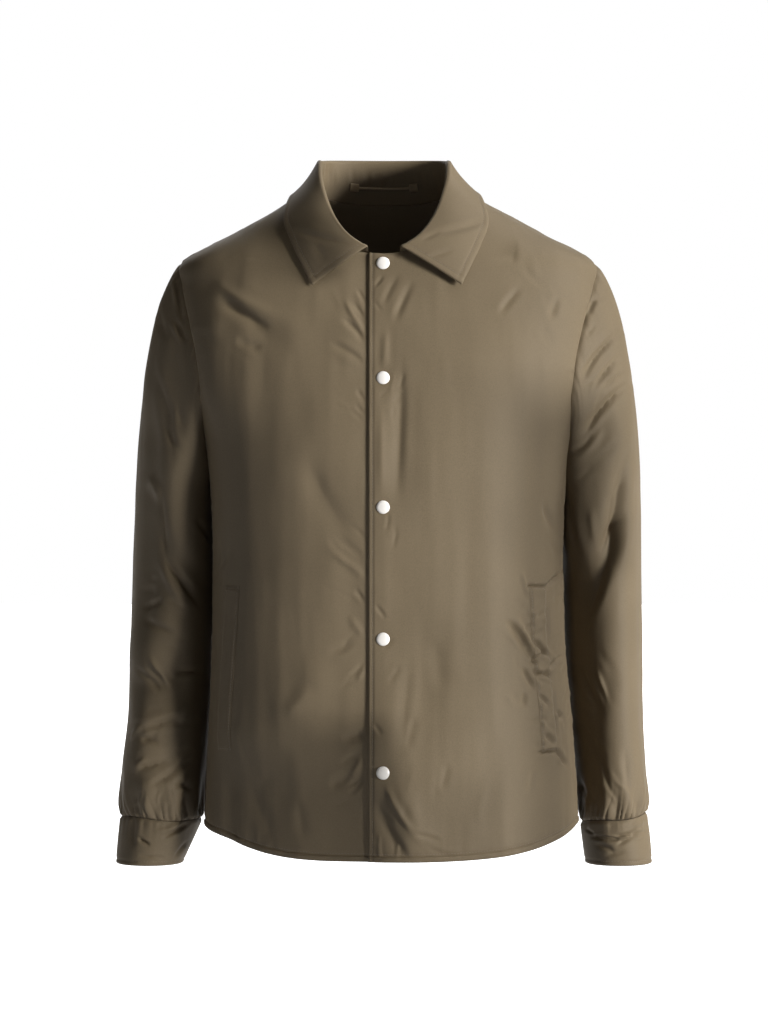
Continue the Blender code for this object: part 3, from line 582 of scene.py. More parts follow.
def fold_lift(across, up, folds):
    """How far the cloth stands out for a table of folds: lines with a width, a height and soft ends."""
    lift = np.zeros(np.shape(across))
    for row in folds:
        along, aside = along_and_aside(across, up, row)
        fade = ease(along / FOLD_END) * ease((1 - along) / FOLD_END)
        lift = lift + row.height * bell(aside / row.width) * fade
    return lift


def swell(points, size, seed):
    """Smooth random swells about one size apart, between -1 and 1."""
    numbers = np.random.default_rng(seed).uniform(-1, 1, (LATTICE, LATTICE, LATTICE))
    place = points / size
    cell = np.floor(place).astype(int)
    share = ease(place - cell)
    total = np.zeros(points.shape[:-1])
    for corner in np.ndindex(2, 2, 2):
        weight = np.prod(np.where(np.array(corner) == 1, share, 1 - share), axis=-1)
        i, j, k = np.moveaxis((cell + np.array(corner)) % LATTICE, -1, 0)
        total += weight * numbers[i, j, k]
    return total


def cloth_swell(points, seed):
    """Slow swells, and upright streaks as in all cloth that hangs. The table is in millimetres."""
    total = np.zeros(points.shape[:-1])
    for number, row in enumerate(SWELLS):
        stretched = points / np.array([1, 1, row.stretch])
        total += row.height * MM * swell(stretched, row.size * MM, seed + number)
    return total


def ripple(along, size, seed):
    """An uneven wave along a line, between -1 and 1."""
    numbers = np.random.default_rng(seed).uniform(-1, 1, RIPPLE_COUNT)
    cell = np.floor(along / size).astype(int)
    share = ease(along / size - cell)
    return numbers[cell % RIPPLE_COUNT] * (1 - share) + numbers[(cell + 1) % RIPPLE_COUNT] * share


print("swells:", len(SWELLS), "sizes")

# %% Seams and edges
SEAM_DIP, SEAM_REACH = 1.1 * MM, 2.4 * MM
PUCKER_SPACING, PUCKER_REACH, FINE_PUCKER = 7 * MM, 9 * MM, 0.5
EDGE_ROUND, EDGE_ROLL = 1.6 * MM, 0.35 * MM
STITCH_DIP, STITCH_DIP_WIDTH = 0.7 * MM, 1.3 * MM


def seam_pull(distance, along, seed, pucker):
    """A groove at the seam, and puckers that start beside it and die away from it."""
    groove = SEAM_DIP * bell(distance / SEAM_REACH)
    fine = FINE_PUCKER * ripple(along, PUCKER_SPACING / 2, seed + 1)
    waves = ripple(along, PUCKER_SPACING, seed) + fine
    near = np.exp(-distance / PUCKER_REACH) * (1 - bell(distance / SEAM_REACH))
    return pucker * waves * near - groove


def turned_edge(distance, stitch_at, fullness=1.0):
    """A rounded rim, a low roll inside it, and a groove at the row of stitches."""
    inside = np.clip(distance, 0, EDGE_ROUND)
    rounding = EDGE_ROUND - np.sqrt(EDGE_ROUND**2 - (EDGE_ROUND - inside) ** 2)
    roll = EDGE_ROLL * bell((distance - stitch_at / 2) / (stitch_at / 3))
    return (roll - STITCH_DIP * bell((distance - stitch_at) / STITCH_DIP_WIDTH)) * fullness - rounding


print("seams dip", round(SEAM_DIP / MM, 1), "mm")

# %% [markdown]
# ## Rows of stitches
# A sewn line shows as a row of short threads that dip into the cloth at both ends. A panel notes its
# rows while its points are at hand, and all the stitches of a panel are made at the end as one mesh.

# %% Stitches
STITCH_LONG, STITCH_APART = 2.3 * MM, 0.9 * MM
STITCH_RADIUS, STITCH_SIDES = 0.30 * MM, 6
StitchRing = namedtuple("StitchRing", "along rise girth")
STITCH_RINGS = (
    StitchRing(-0.50, -0.5, 0.5),
    StitchRing(-0.30, 0.2, 1.0),
    StitchRing(0.30, 0.2, 1.0),
    StitchRing(0.50, -0.5, 0.5),
)
stitch_rows = {}


def line_on(grid, distance, at, axis):
    """The line on a grid where a distance, measured along one axis, has a given value."""
    if axis == UP:
        grid, distance = grid.swapaxes(UP, ACROSS), distance.T
    line = []
    for points, values in zip(grid, distance):
        order = np.argsort(values)
        line.append([np.interp(at, values[order], points[order, k]) for k in range(3)])
    return np.array(line)


def note_row(panel, grid, out, distance, at, axis, keep=slice(None)):
    """Notes a row of stitches on a panel: its line, and the way out of the cloth along it."""
    line = line_on(grid, distance, at, axis)
    lean = line_on(out, distance, at, axis)
    stitch_rows.setdefault(panel, []).append((line[keep], unit(lean[keep])))


def row_points(line, out):
    """The points of every stitch along one line: stitches, rings, sides, and x, y, z."""
    along = run_length(line)
    count = int(along[-1] / (STITCH_LONG + STITCH_APART))
    middle = (np.arange(count) + 0.5) * along[-1] / count

    def read(values, at):
        return np.stack([np.interp(at, along, values[:, k]) for k in range(3)], axis=1)

    way = unit(read(line, middle + STITCH_LONG / 2) - read(line, middle - STITCH_LONG / 2))
    lean = read(out, middle)
    aside = unit(np.cross(way, lean))
    lean = np.cross(aside, way)
    turn = np.arange(STITCH_SIDES) * 2 * np.pi / STITCH_SIDES
    rings = []
    for ring in STITCH_RINGS:
        centre = read(line, middle) + way * ring.along * STITCH_LONG + lean * ring.rise * STITCH_RADIUS
        round_it = lean[:, None] * np.cos(turn)[:, None] + aside[:, None] * np.sin(turn)[:, None]
        rings.append(centre[:, None] + round_it * STITCH_RADIUS * ring.girth)
    return np.stack(rings, axis=1)


def sew_stitches(panel, *nodes):
    """All the stitches of one panel as one piece."""
    points = np.concatenate([row_points(*row) for row in stitch_rows[panel]])
    rings, sides = len(STITCH_RINGS), STITCH_SIDES
    one = grid_index(rings, sides, True, 0)
    starts = np.arange(len(points))[:, None, None] * rings * sides
    faces = (quads(one)[None] + starts).reshape(-1, 4).tolist()
    faces += (one[[0, -1], :-1][None] + starts).reshape(-1, sides).tolist()
    flat = points.reshape(-1, 3).tolist()
    made = make_piece(f"{panel}_stitches", flat, faces, thread, "shell_cloth", *nodes)
    print(panel, "stitches:", len(points))
    return made


print("a stitch every", round((STITCH_LONG + STITCH_APART) / MM, 1), "mm")

# %% [markdown]
# ## The form of the trunk
# The worn jacket is a stack of rounded rings from the hem to the neck, each with its own width and its
# own depth in front and behind. Every panel of the trunk lies on this form, and so does everything that
# is sewn or pressed on to a panel.

# %% Trunk form
RING_POWER = 2.3
TorsoSection = namedtuple("TorsoSection", "height shift half_width side_y front_depth back_depth")
TORSO_SECTIONS = (
    TorsoSection(-0.735, 0.009, 0.204, -0.008, 0.115, 0.116),
    TorsoSection(-0.600, 0.007, 0.197, -0.006, 0.121, 0.113),
    TorsoSection(-0.480, 0.005, 0.190, -0.004, 0.125, 0.114),
    TorsoSection(-0.380, 0.004, 0.189, -0.002, 0.128, 0.120),
    TorsoSection(-0.290, 0.004, 0.197, 0.000, 0.128, 0.128),
    TorsoSection(-0.244, 0.004, 0.209, 0.002, 0.124, 0.130),
    TorsoSection(-0.200, 0.004, 0.219, 0.003, 0.117, 0.128),
    TorsoSection(-0.148, 0.004, 0.226, 0.005, 0.106, 0.122),
    TorsoSection(-0.110, 0.004, 0.228, 0.007, 0.097, 0.113),
    TorsoSection(-0.082, 0.004, 0.223, 0.008, 0.089, 0.104),
    TorsoSection(-0.050, 0.0045, 0.1645, 0.008, 0.077, 0.091),
    TorsoSection(-0.025, 0.004, 0.119, 0.008, 0.065, 0.079),
    TorsoSection(0.000, 0.000, 0.078, 0.008, 0.052, 0.066),
    TorsoSection(0.020, 0.000, 0.045, 0.008, 0.040, 0.050),
)
TORSO = Profile(TORSO_SECTIONS)


def torso_ring(height):
    """The ring at a height: its shift, half width, side line and depths."""
    names = ("shift", "half_width", "side_y", "front_depth", "back_depth")
    return [TORSO.read(name, height) for name in names]


def torso_shares(points):
    """How far out each point lies on its ring, across and in depth, as shares of the ring's sizes."""
    shift, half, side_y, front, back = torso_ring(points[..., 2])
    deep = points[..., 1] - side_y
    return (points[..., 0] - shift) / half, deep / np.where(deep < 0, front, back)


def onto_torso(points):
    """Each point moved level, towards or away from its ring's middle, until it lies on the form."""
    shift, _, side_y, _, _ = torso_ring(points[..., 2])
    across, deep = torso_shares(points)
    reach = (np.abs(across) ** RING_POWER + np.abs(deep) ** RING_POWER) ** (1 / RING_POWER)
    moved = points.copy()
    moved[..., 0] = shift + (points[..., 0] - shift) / reach
    moved[..., 1] = side_y + (points[..., 1] - side_y) / reach
    return moved


def torso_normal(points, step=0.0005):
    """The outward direction of the form at each point."""

    def level(at):
        across, deep = torso_shares(at)
        return np.abs(across) ** RING_POWER + np.abs(deep) ** RING_POWER

    slopes = [level(points + step * axis) - level(points - step * axis) for axis in np.eye(3)]
    return unit(np.stack(slopes, axis=-1))


def torso_at(x, height, facing):
    """The point of the form at x and a height, on its front or its back."""
    shift, half, side_y, front, back = torso_ring(height)
    share = np.clip(np.abs((x - shift) / half), 0, 1)
    depth = front if facing == FRONT else back
    return stack(x, side_y + facing * depth * (1 - share**RING_POWER) ** (1 / RING_POWER), height)


def torso_beside(height, reach, facing, side):
    """The point of the form that lies a reach in front of or behind the side seam."""
    shift, half, side_y, front, back = torso_ring(height)
    depth = front if facing == FRONT else back
    x = shift + side * half * (1 - (reach / depth) ** RING_POWER) ** (1 / RING_POWER)
    return stack(x, side_y + facing * reach, height)


print("trunk rings:", len(TORSO_SECTIONS))

# %% [markdown]
# ## Where the panels end
# The hem is level in the middle and rises at the sides. The neck seam dips in front. The armhole is an
# egg, wider behind than in front. At the neck and at the armhole the cloth is turned towards the hole,
# which is where the collar and the sleeve meet it.

# %% Boundary curves
HEM_HEIGHT, HEM_SIDE_RISE, HEM_RISE_POWER, HEM_TILT = -0.718, 0.031, 4, 0.002
BINDING_HEIGHT = 6 * MM
SEAM_GAP, ARMHOLE_SEAM = 0.3 * MM, 0.5 * MM
OVERLAP = 17 * MM
NECK_HALF_WIDTH, NECK_FRONT_DROP, NECK_BACK_DROP = 0.078, 0.078, 0.014
NECK_WALL_INWARD, NECK_WALL_DOWN = 0.8, 0.5
ARMHOLE_TOP, ARMHOLE_BOTTOM = -0.082, -0.290
ARMHOLE_FRONT_REACH, ARMHOLE_BACK_REACH = 0.055, 0.068
ARMHOLE_EGG, ARMHOLE_POINT = 0.25, 0.8
ARMHOLE_STEP = 10
COLLAR_START = float(np.degrees(np.arcsin(OVERLAP / NECK_HALF_WIDTH)))
FRONT_STRIPS, NECK_STRIPS = 17, 8
FRONT_NECK_SHARE, BACK_SHOULDER_SHARE, SIDE_SHARE = NECK_STRIPS / FRONT_STRIPS, 9 / 26, 13 / 23
TURN_IN = 7 * MM


def hem_curve(start_share, end_share, facing, lift):
    """The hem between two shares of the half width."""
    turn = np.linspace(np.arcsin(start_share), np.arcsin(end_share), CURVE_SAMPLES)
    share = np.sign(np.sin(turn)) * np.abs(np.sin(turn)) ** (2 / RING_POWER)
    height = HEM_HEIGHT + HEM_SIDE_RISE * np.abs(share) ** HEM_RISE_POWER + HEM_TILT * share + lift
    shift, half, _, _, _ = torso_ring(height)
    return torso_at(shift + half * share, height, facing)


def front_hem(side, lift):
    """The hem of one front, from its centre edge to the side seam."""
    shift, half, _, _, _ = torso_ring(HEM_HEIGHT)
    edge_share = (-side * OVERLAP - shift) / half
    edge_sine = np.sign(edge_share) * np.abs(edge_share) ** (RING_POWER / 2)
    return hem_curve(edge_sine, side, FRONT, lift)


def neckline(angle, side):
    """The neck seam. The angle is 0 at the front, 90 at the shoulder and 180 at the back."""
    turn = np.radians(angle)
    drop = np.where(np.cos(turn) > 0, NECK_FRONT_DROP, NECK_BACK_DROP)
    x = side * NECK_HALF_WIDTH * np.sin(turn)
    height = -drop * np.abs(np.cos(turn))
    front, back = torso_at(x, height, FRONT), torso_at(x, height, BACK)
    return np.where((np.cos(turn) > 0)[..., None], front, back)


def neck_wall(points):
    """Which way the cloth turns at the neck seam: in towards the neck, and down."""
    inward = -points * np.array([1, 1, 0]) + np.array([0, TORSO.read("side_y", 0.0), 0])
    return unit(unit(inward) * NECK_WALL_INWARD - np.array([0, 0, NECK_WALL_DOWN]))


def armhole(angle, side):
    """The armhole seam. The angle is 0 at the shoulder, 90 at the front and 180 underneath."""
    turn = np.radians(angle)
    middle, half = (ARMHOLE_TOP + ARMHOLE_BOTTOM) / 2, (ARMHOLE_TOP - ARMHOLE_BOTTOM) / 2
    height = middle + half * np.cos(turn)
    underneath = (1 - np.cos(turn)) / 2
    egg = np.abs(np.sin(turn)) ** (1 + ARMHOLE_POINT * underneath) * (1 - ARMHOLE_EGG * np.cos(turn))
    front = torso_beside(height, ARMHOLE_FRONT_REACH * egg, FRONT, side)
    back = torso_beside(height, ARMHOLE_BACK_REACH * egg, BACK, side)
    return np.where((np.sin(turn) >= 0)[..., None], front, back)


def armhole_wall(points, side):
    """Which way the cloth turns at the armhole seam: towards the middle of the hole."""
    middle = armhole(np.arange(0, 360, ARMHOLE_STEP), side).mean(axis=0)
    return unit((middle - points) * np.array([0, 1, 1]))


def side_line(start, end, side):
    """The side or shoulder seam, from one height to another."""
    height = np.linspace(start, end, CURVE_SAMPLES)
    shift, half, side_y, _, _ = torso_ring(height)
    return stack(shift + side * half, side_y, height)


def side_and_armhole(seam_start, angles, up, side):
    """The outer edge of a panel: up the side seam, then round one half of the armhole."""
    seam = cut_at(side_line(seam_start, ARMHOLE_BOTTOM, side), np.clip(up / SIDE_SHARE, 0, 1))
    turned = np.clip((up - SIDE_SHARE) / (1 - SIDE_SHARE), 0, 1)
    hole = armhole(np.interp(turned, (0, 1), angles), side)
    return np.where((up <= SIDE_SHARE)[:, None], seam, hole)


def turn_in(depth, distance, towards):
    """Turns the cloth's thickness towards a hole, within a short way of its edge."""
    share = ease(1 - distance / TURN_IN)[..., None]
    return unit(depth * (1 - share) + towards * share)


print("collar starts at", round(COLLAR_START, 1), "degrees")

# %% [markdown]
# ## The two fronts
# Each front is one panel from the lap to the side seam. The wearer's left laps over the right, so the
# right one sinks behind it near the centre. The creases follow the picture: drag lines from the armhole
# and the snaps, a long soft fold beside the lap, a strong one at the hem, and puckers round the pocket.

# %% Folds of the fronts
FRONT_FOLDS = (
    Fold(-0.190, -0.105, -0.075, -0.180, 0.020, 0.0035),
    Fold(-0.185, -0.118, -0.090, -0.182, 0.016, -0.0035),
    Fold(-0.060, -0.130, -0.018, -0.205, 0.018, 0.0020),
    Fold(0.018, -0.200, 0.016, -0.370, 0.016, -0.0025),
    Fold(0.006, -0.630, 0.042, -0.712, 0.017, 0.0045),
    Fold(-0.010, -0.640, 0.012, -0.735, 0.022, -0.0025),
    Fold(-0.090, -0.280, -0.030, -0.400, 0.024, -0.0020),
    Fold(-0.110, -0.590, -0.060, -0.500, 0.026, 0.0025),
    Fold(0.112, -0.180, 0.118, -0.640, 0.026, 0.0025),
    Fold(0.052, -0.440, 0.030, -0.640, 0.022, -0.0025),
)

# From the pockets down the cloth stands out at the lap and on the left front, and sinks at the right
# side. It stands out beside the right armhole too
FRONT_LEANS = (
    Fold(-0.002, -0.500, 0.034, -0.810, 0.050, 0.0095),
    Fold(0.090, -0.500, 0.105, -0.810, 0.085, 0.0085),
    Fold(-0.150, -0.580, -0.150, -0.800, 0.065, -0.0120),
    Fold(-0.182, -0.100, -0.176, -0.280, 0.045, 0.0050),
)
print("folds of the fronts:", len(FRONT_FOLDS + FRONT_LEANS))

# %% Creases of the right front
RIGHT_FRONT_CREASES = (
    Crease(-176, -122, -118, -160, 2, 8, 3.6, 0.2),
    Crease(-180, -108, -104, -150, 3, 9, -1.8, 0.0),
    Crease(-157, -170, -126, -179, 1, 8, 1.6, 0.0),
    Crease(-158, -81, -100, -88, -2, 2.6, 0.6, 0.0),
    Crease(-46, -146, -18, -174, -2, 4.5, 2.0, 0.2),
    Crease(-59, -173, -18, -196, -2, 5.5, 1.8, 0.2),
    Crease(-43, -124, -18, -164, 2, 4.5, -1.6, 0.0),
    Crease(-34, -128, -18, -150, 0, 3.2, 1.2, 0.0),
    Crease(-29, -115, -16, -134, 0, 3, 1.2, 0.0),
    Crease(-30, -222, -16, -238, 0, 4, 1.2, 0.0),
    Crease(-32, -238, -16, -252, 0, 3.5, 1.0, 0.0),
    Crease(-84, -292, -34, -380, 4, 15, 1.5, 0.2),
    Crease(-58, -374, -18, -404, 0, 7, 1.2, 0.0),
    Crease(-57, -392, -16, -422, 0, 6, -1.5, 0.0),
    Crease(-32, -432, -17, -448, 0, 4, 1.4, 0.0),
    Crease(-62, -500, -27, -485, 1, 7, 1.1, 0.0),
    Crease(-38, -460, -20, -484, 0, 6, -1.1, 0.0),
    Crease(-30, -530, -16, -512, 0, 4, -1.0, 0.0),
    Crease(-104, -570, -75, -533, 0, 13, -1.2, 0.0),
    Crease(-46, -590, -16, -583, 0, 8, 1.6, 0.0),
    Crease(-60, -641, -32, -626, 0, 9, 1.4, 0.0),
    Crease(-36, -631, -18, -604, 0, 6, -1.3, 0.0),
    Crease(-150, -640, -120, -700, 0, 12, 1.2, 0.0),
    Crease(-86, -700, -92, -650, 0, 9, 0.9, 0.0),
)
RIGHT_FRONT_RUMPLES = (
    Rumple(-38, -150, 18, 30, -50, 14, 6, 30, 4.5, 0.9),
    Rumple(-34, -235, 14, 20, -45, 15, 4, 22, 4.0, 0.7),
    Rumple(-40, -410, 20, 35, -38, 14, 8, 34, 5.0, 0.9),
    Rumple(-34, -500, 14, 35, 40, 18, 7, 26, 4.5, 0.8),
    Rumple(-36, -615, 16, 40, 40, 20, 7, 30, 5.0, 0.9),
    Rumple(-120, -660, 45, 40, 70, 25, 8, 42, 7.0, 0.8),
    Rumple(-165, -480, 12, 120, 80, 15, 8, 40, 5.0, 0.8),
    Rumple(-150, -150, 35, 40, -32, 14, 5, 44, 7.0, 0.5),
)
RIGHT_FRONT_CREASES += scattered(RIGHT_FRONT_RUMPLES, seed=5)
print("creases of the right front:", len(RIGHT_FRONT_CREASES))

# %% Creases of the left front
LEFT_FRONT_CREASES = (
    Crease(17, -98, -3, -138, 1, 5.0, 1.1, 0.0),
    Crease(32, -104, 10, -156, 1, 6.0, 1.4, 0.0),
    Crease(-11, -114, 0, -103, 0, 2.6, 1.3, 0.0),
    Crease(-12, -128, -2, -141, 0, 2.6, 0.8, 0.0),
    Crease(18, -180, 12, -348, -2, 9, 1.9, 0.2),
    Crease(2, -158, 0, -204, 0, 6, -1.1, 0.0),
    Crease(-3, -232, -3, -342, 0, 6, -0.9, 0.0),
    Crease(147, -113, 121, -146, 2, 6, 1.4, 0.0),
    Crease(186, -120, 176, -150, 0, 6, 1.4, 0.0),
    Crease(132, -56, 136, -92, -2, 7, 1.5, 0.0),
    Crease(165, -340, 184, -381, -2, 6, 2.0, 0.2),
    Crease(126, -463, 157, -504, -2, 5.5, 3.4, 0.2),
    Crease(143, -468, 161, -508, 0, 4, -3.2, 0.0),
    Crease(146, -430, 178, -432, 0, 2.8, 4.0, 0.0),
    Crease(145, -412, 154, -442, 1, 3.6, -1.8, 0.0),
    Crease(147, -541, 144, -558, 0, 4.5, 2.0, 0.0),
    Crease(138, -462, 150, -480, 1, 5.0, -1.6, 0.0),
    Crease(168, -435, 196, -412, 0, 3.4, 4.2, 0.0),
    Crease(149, -515, 174, -497, 1, 4, 3.4, 0.0),
    Crease(145, -514, 158, -541, 0, 4.5, 3.6, 0.0),
    Crease(155, -484, 177, -508, 0, 3.8, 4.2, 0.0),
    Crease(155, -606, 186, -605, 0, 2.8, 4.2, 0.0),
    Crease(177, -601, 198, -626, 0, 3.4, 4.2, 0.0),
    Crease(163, -584, 183, -602, 0, 5.0, 3.4, 0.0),
    Crease(172, -519, 192, -504, 0, 3.4, 4.0, 0.0),
    Crease(154, -521, 183, -531, -2, 3.4, 3.8, 0.0),
    Crease(160, -543, 174, -558, 0, 3.6, 2.8, 0.0),
    Crease(181, -560, 192, -576, 0, 3.2, 3.4, 0.0),
    Crease(173, -446, 175, -496, 0, 3.0, 2.2, 0.0),
    Crease(178, -530, 182, -604, 0, 3.0, 2.2, 0.0),
    Crease(0, -634, 33, -690, 3, 4.6, -3.0, -0.2),
    Crease(-8, -652, 30, -720, 3, 8, 3.2, 0.3),
    Crease(-5, -685, -5, -716, 0, 3, -1.1, 0.0),
    Crease(15, -692, 13, -716, 0, 3, -1.1, 0.0),
    Crease(29, -687, 60, -696, -1, 3, 1.6, 0.0),
    Crease(43, -702, 74, -711, 1, 3, 1.3, 0.0),
    Crease(23, -603, 32, -563, 0, 7, 1.1, 0.0),
    Crease(58, -645, 66, -613, 0, 6, 1.0, 0.0),
    Crease(150, -653, 155, -620, 0, 5, 1.2, 0.0),
    Crease(27, -500, 16, -616, 0, 10, 1.3, 0.2),
    Crease(-10, -448, 3, -464, 0, 3, 1.3, 0.0),
    Crease(-12, -571, -1, -585, 0, 3, 1.2, 0.0),
    Crease(52, -480, 62, -545, 0, 15, 1.2, 0.0),
)
LEFT_FRONT_RUMPLES = (
    Rumple(162, -470, 14, 35, 20, 45, 12, 20, 3.8, 2.0),
    Rumple(164, -540, 14, 40, -20, 50, 14, 20, 3.8, 2.1),
    Rumple(174, -595, 12, 18, -30, 40, 7, 18, 3.6, 1.9),
    Rumple(187, -480, 7, 50, 40, 50, 10, 16, 3.4, 1.8),
    Rumple(192, -575, 7, 45, 50, 50, 9, 16, 3.4, 1.8),
    Rumple(140, -500, 12, 60, -55, 20, 6, 30, 5.0, 0.9),
    Rumple(8, -120, 14, 20, 60, 16, 4, 28, 4.0, 0.4),
    Rumple(10, -235, 10, 24, 60, 30, 5, 20, 3.6, 0.7),
    Rumple(8, -365, 10, 24, 60, 30, 5, 20, 3.6, 0.7),
    Rumple(8, -500, 10, 24, 55, 30, 5, 22, 3.8, 0.7),
    Rumple(24, -690, 30, 22, -50, 25, 9, 30, 4.4, 1.2),
    Rumple(175, -140, 16, 40, -60, 18, 6, 34, 5.0, 0.9),
    Rumple(180, -350, 8, 50, -65, 14, 6, 30, 5.0, 1.0),
    Rumple(70, -660, 50, 30, 80, 16, 7, 34, 6.0, 0.7),
)
LEFT_FRONT_CREASES += scattered(LEFT_FRONT_RUMPLES, seed=6)
print("creases of the left front:", len(LEFT_FRONT_CREASES))

# %% How far the fronts stand out
FOLD_SIDE_FADE = 0.12
SNAP_HEIGHTS = (-0.089, -0.211, -0.347, -0.485, -0.624)
SNAP_X = -1 * MM
DIMPLE_REACH, DIMPLE_DEPTH = 10 * MM, 0.8 * MM
LAP_COVER, LAP_COVER_BLEND = 9 * MM, 8 * MM
LAP_DEPTH, LAP_BLEND = CLOTH + 1.3 * MM, 60 * MM
LAP_EDGE_SINK, LAP_EDGE_REACH = 1.1 * MM, 7 * MM


def snap_dimples(across, up):
    """Each snap nips the cloth round it."""
    nips = [bell(np.hypot(across - SNAP_X, up - height) / DIMPLE_REACH) for height in SNAP_HEIGHTS]
    return -DIMPLE_DEPTH * sum(nips)


def front_lift(points, side):
    """How far one front stands off the form: large folds, creases and swells.

    Under the lap the right front has only the left one's hollows, so that it stays behind it.
    """
    across, up = points[..., 0], points[..., 2]
    off_sides = ease((1 - np.abs(torso_shares(points)[0])) / FOLD_SIDE_FADE)
    over = crease_lift(across, up, LEFT_FRONT_CREASES) + snap_dimples(across, up)
    if side == LEFT:
        creases = over
    else:
        own = crease_lift(across, up, RIGHT_FRONT_CREASES)
        under_lap = ease((across + OVERLAP + LAP_COVER) / LAP_COVER_BLEND)
        creases = own * (1 - under_lap) + np.minimum(over, 0) * under_lap
    large = fold_lift(across, up, FRONT_FOLDS + FRONT_LEANS)
    return large * off_sides + creases + cloth_swell(points, seed=11)


def lap_push(points):
    """How far the right front sinks behind the left one."""
    return -LAP_DEPTH * ease((points[..., 0] + OVERLAP + LAP_BLEND) / LAP_BLEND)


def lap_sink(from_lap):
    """The free edge of the left front settles on to the right one."""
    return -LAP_EDGE_SINK * ease(1 - from_lap / LAP_EDGE_REACH)


print("the right front sinks", round(LAP_DEPTH / MM, 1), "mm under the lap")

# %% Fronts
FRONT_COLUMNS, FRONT_ROWS, LAP_FINE = 220, 330, 0.012
HEM_STITCH, LAP_STITCH = 2.5 * MM, 5 * MM
SIDE_PUCKER, HEM_PUCKER, TOP_PUCKER = 0.9 * MM, 0.5 * MM, 0.3 * MM


def front_form(side):
    """One front on the form, and which of its columns end at the neck and its rows at the armhole."""
    across = edge_shares(FRONT_COLUMNS, LAP_FINE)
    up = np.linspace(0, 1, FRONT_ROWS + 1)
    hem = cut_at(front_hem(side, BINDING_HEIGHT), across)
    on_neck = across <= FRONT_NECK_SHARE
    strips, angles = (0, 1, 2, NECK_STRIPS), (-COLLAR_START, 0, COLLAR_START, 90)
    angle = np.interp(across * FRONT_STRIPS, strips, angles)
    neck = neckline(angle, side)
    shoulder_share = np.clip((across - FRONT_NECK_SHARE) / (1 - FRONT_NECK_SHARE), 0, 1)
    shoulder = cut_at(side_line(0.0, ARMHOLE_TOP, side), shoulder_share)
    top = np.where(on_neck[:, None], neck, shoulder)
    straight = hem[0] + (neck[0] - hem[0]) * up[:, None]
    centre = torso_at(straight[:, 0], straight[:, 2], FRONT)
    edge = side_and_armhole(hem[-1, 2], (180, 0), up, side)
    return onto_torso(patch(hem, top, centre, edge, across, up)), on_neck, up > SIDE_SHARE


def front_grid(side):
    """Outer and inner points of one front, from the lap to the side seam and the armhole."""
    form, on_neck, on_armhole = front_form(side)
    normal = torso_normal(form)
    from_lap, from_hem = run_length(form, ACROSS), run_length(form, UP)
    from_edge, from_top = from_lap[:, -1:] - from_lap, from_hem[-1:] - from_hem
    lift = front_lift(form, side) + turned_edge(from_lap, LAP_STITCH)
    lift += seam_pull(from_edge, from_hem, seed=21 + side, pucker=SIDE_PUCKER)
    lift += seam_pull(from_hem, from_lap, seed=31 + side, pucker=HEM_PUCKER)
    lift += seam_pull(from_top, from_lap, seed=41 + side, pucker=TOP_PUCKER)
    lift += lap_push(form) if side == RIGHT else lap_sink(from_lap)
    depth = -normal
    at_neck = turn_in(depth, from_top, neck_wall(form))
    depth = np.where(on_neck[None, :, None], at_neck, depth)
    at_arm = turn_in(depth, from_edge, armhole_wall(form, side))
    depth = np.where(on_armhole[:, None, None], at_arm, depth)
    outer = form + normal * lift[..., None]
    panel = f"front_{SIDES[side]}"
    note_row(panel, outer, normal, from_hem, HEM_STITCH, UP)
    if side == LEFT:
        note_row(panel, outer, normal, from_lap, LAP_STITCH, ACROSS)
    return outer, outer + CLOTH * depth


for side, word in SIDES.items():
    nodes = (f"front_{word}", f"front_{word}_chest")
    sew(f"front_{word}", *front_grid(side), *nodes)
    sew_stitches(f"front_{word}", *nodes)

# %% [markdown]
# ## The back
# The back is one panel from side seam to side seam. It doesn't show in the picture, so it has only the
# folds that such a back has when it is worn: two that run in from the armholes and soft upright ones
# above the hem.

# %% Folds and creases of the back
BACK_FOLDS = (
    Fold(-0.150, -0.180, -0.070, -0.330, 0.026, 0.0035),
    Fold(0.150, -0.180, 0.075, -0.340, 0.026, 0.0035),
    Fold(-0.060, -0.400, -0.040, -0.640, 0.030, -0.0035),
    Fold(0.070, -0.420, 0.050, -0.660, 0.032, 0.0035),
)
BACK_CREASES = (
    Crease(-190, -150, -120, -215, 4, 8, 2.2, 0.2),
    Crease(-182, -200, -128, -262, -3, 7, 1.8, 0.1),
    Crease(-170, -255, -120, -290, 2, 6, 1.3, 0.0),
    Crease(196, -140, 122, -208, -4, 8, 2.3, -0.2),
    Crease(186, -196, 132, -250, 3, 7, 1.7, 0.0),
    Crease(176, -250, 116, -298, -2, 6, 1.4, 0.0),
    Crease(-96, -430, -70, -640, 6, 14, 1.8, 0.2),
    Crease(22, -470, 36, -660, -5, 13, 1.5, -0.1),
    Crease(112, -500, 98, -690, 3, 11, 1.4, 0.1),
    Crease(-30, -600, -22, -715, 0, 9, 1.2, 0.0),
    Crease(-158, -560, -140, -690, 2, 10, 1.5, 0.0),
    Crease(150, -380, 166, -470, 0, 9, 1.4, 0.0),
    Crease(-60, -40, 60, -44, 6, 9, 1.0, 0.0),
)


def back_lift(points):
    """How far the back stands off the form."""
    across, up = points[..., 0], points[..., 2]
    off_sides = ease((1 - np.abs(torso_shares(points)[0])) / FOLD_SIDE_FADE)
    large = fold_lift(across, up, BACK_FOLDS) + crease_lift(across, up, BACK_CREASES)
    return large * off_sides + cloth_swell(points, seed=51)


print("folds and creases of the back:", len(BACK_FOLDS) + len(BACK_CREASES))

# %% Back
BACK_COLUMNS, BACK_ROWS, BACK_DIP = 200, 180, 0.12


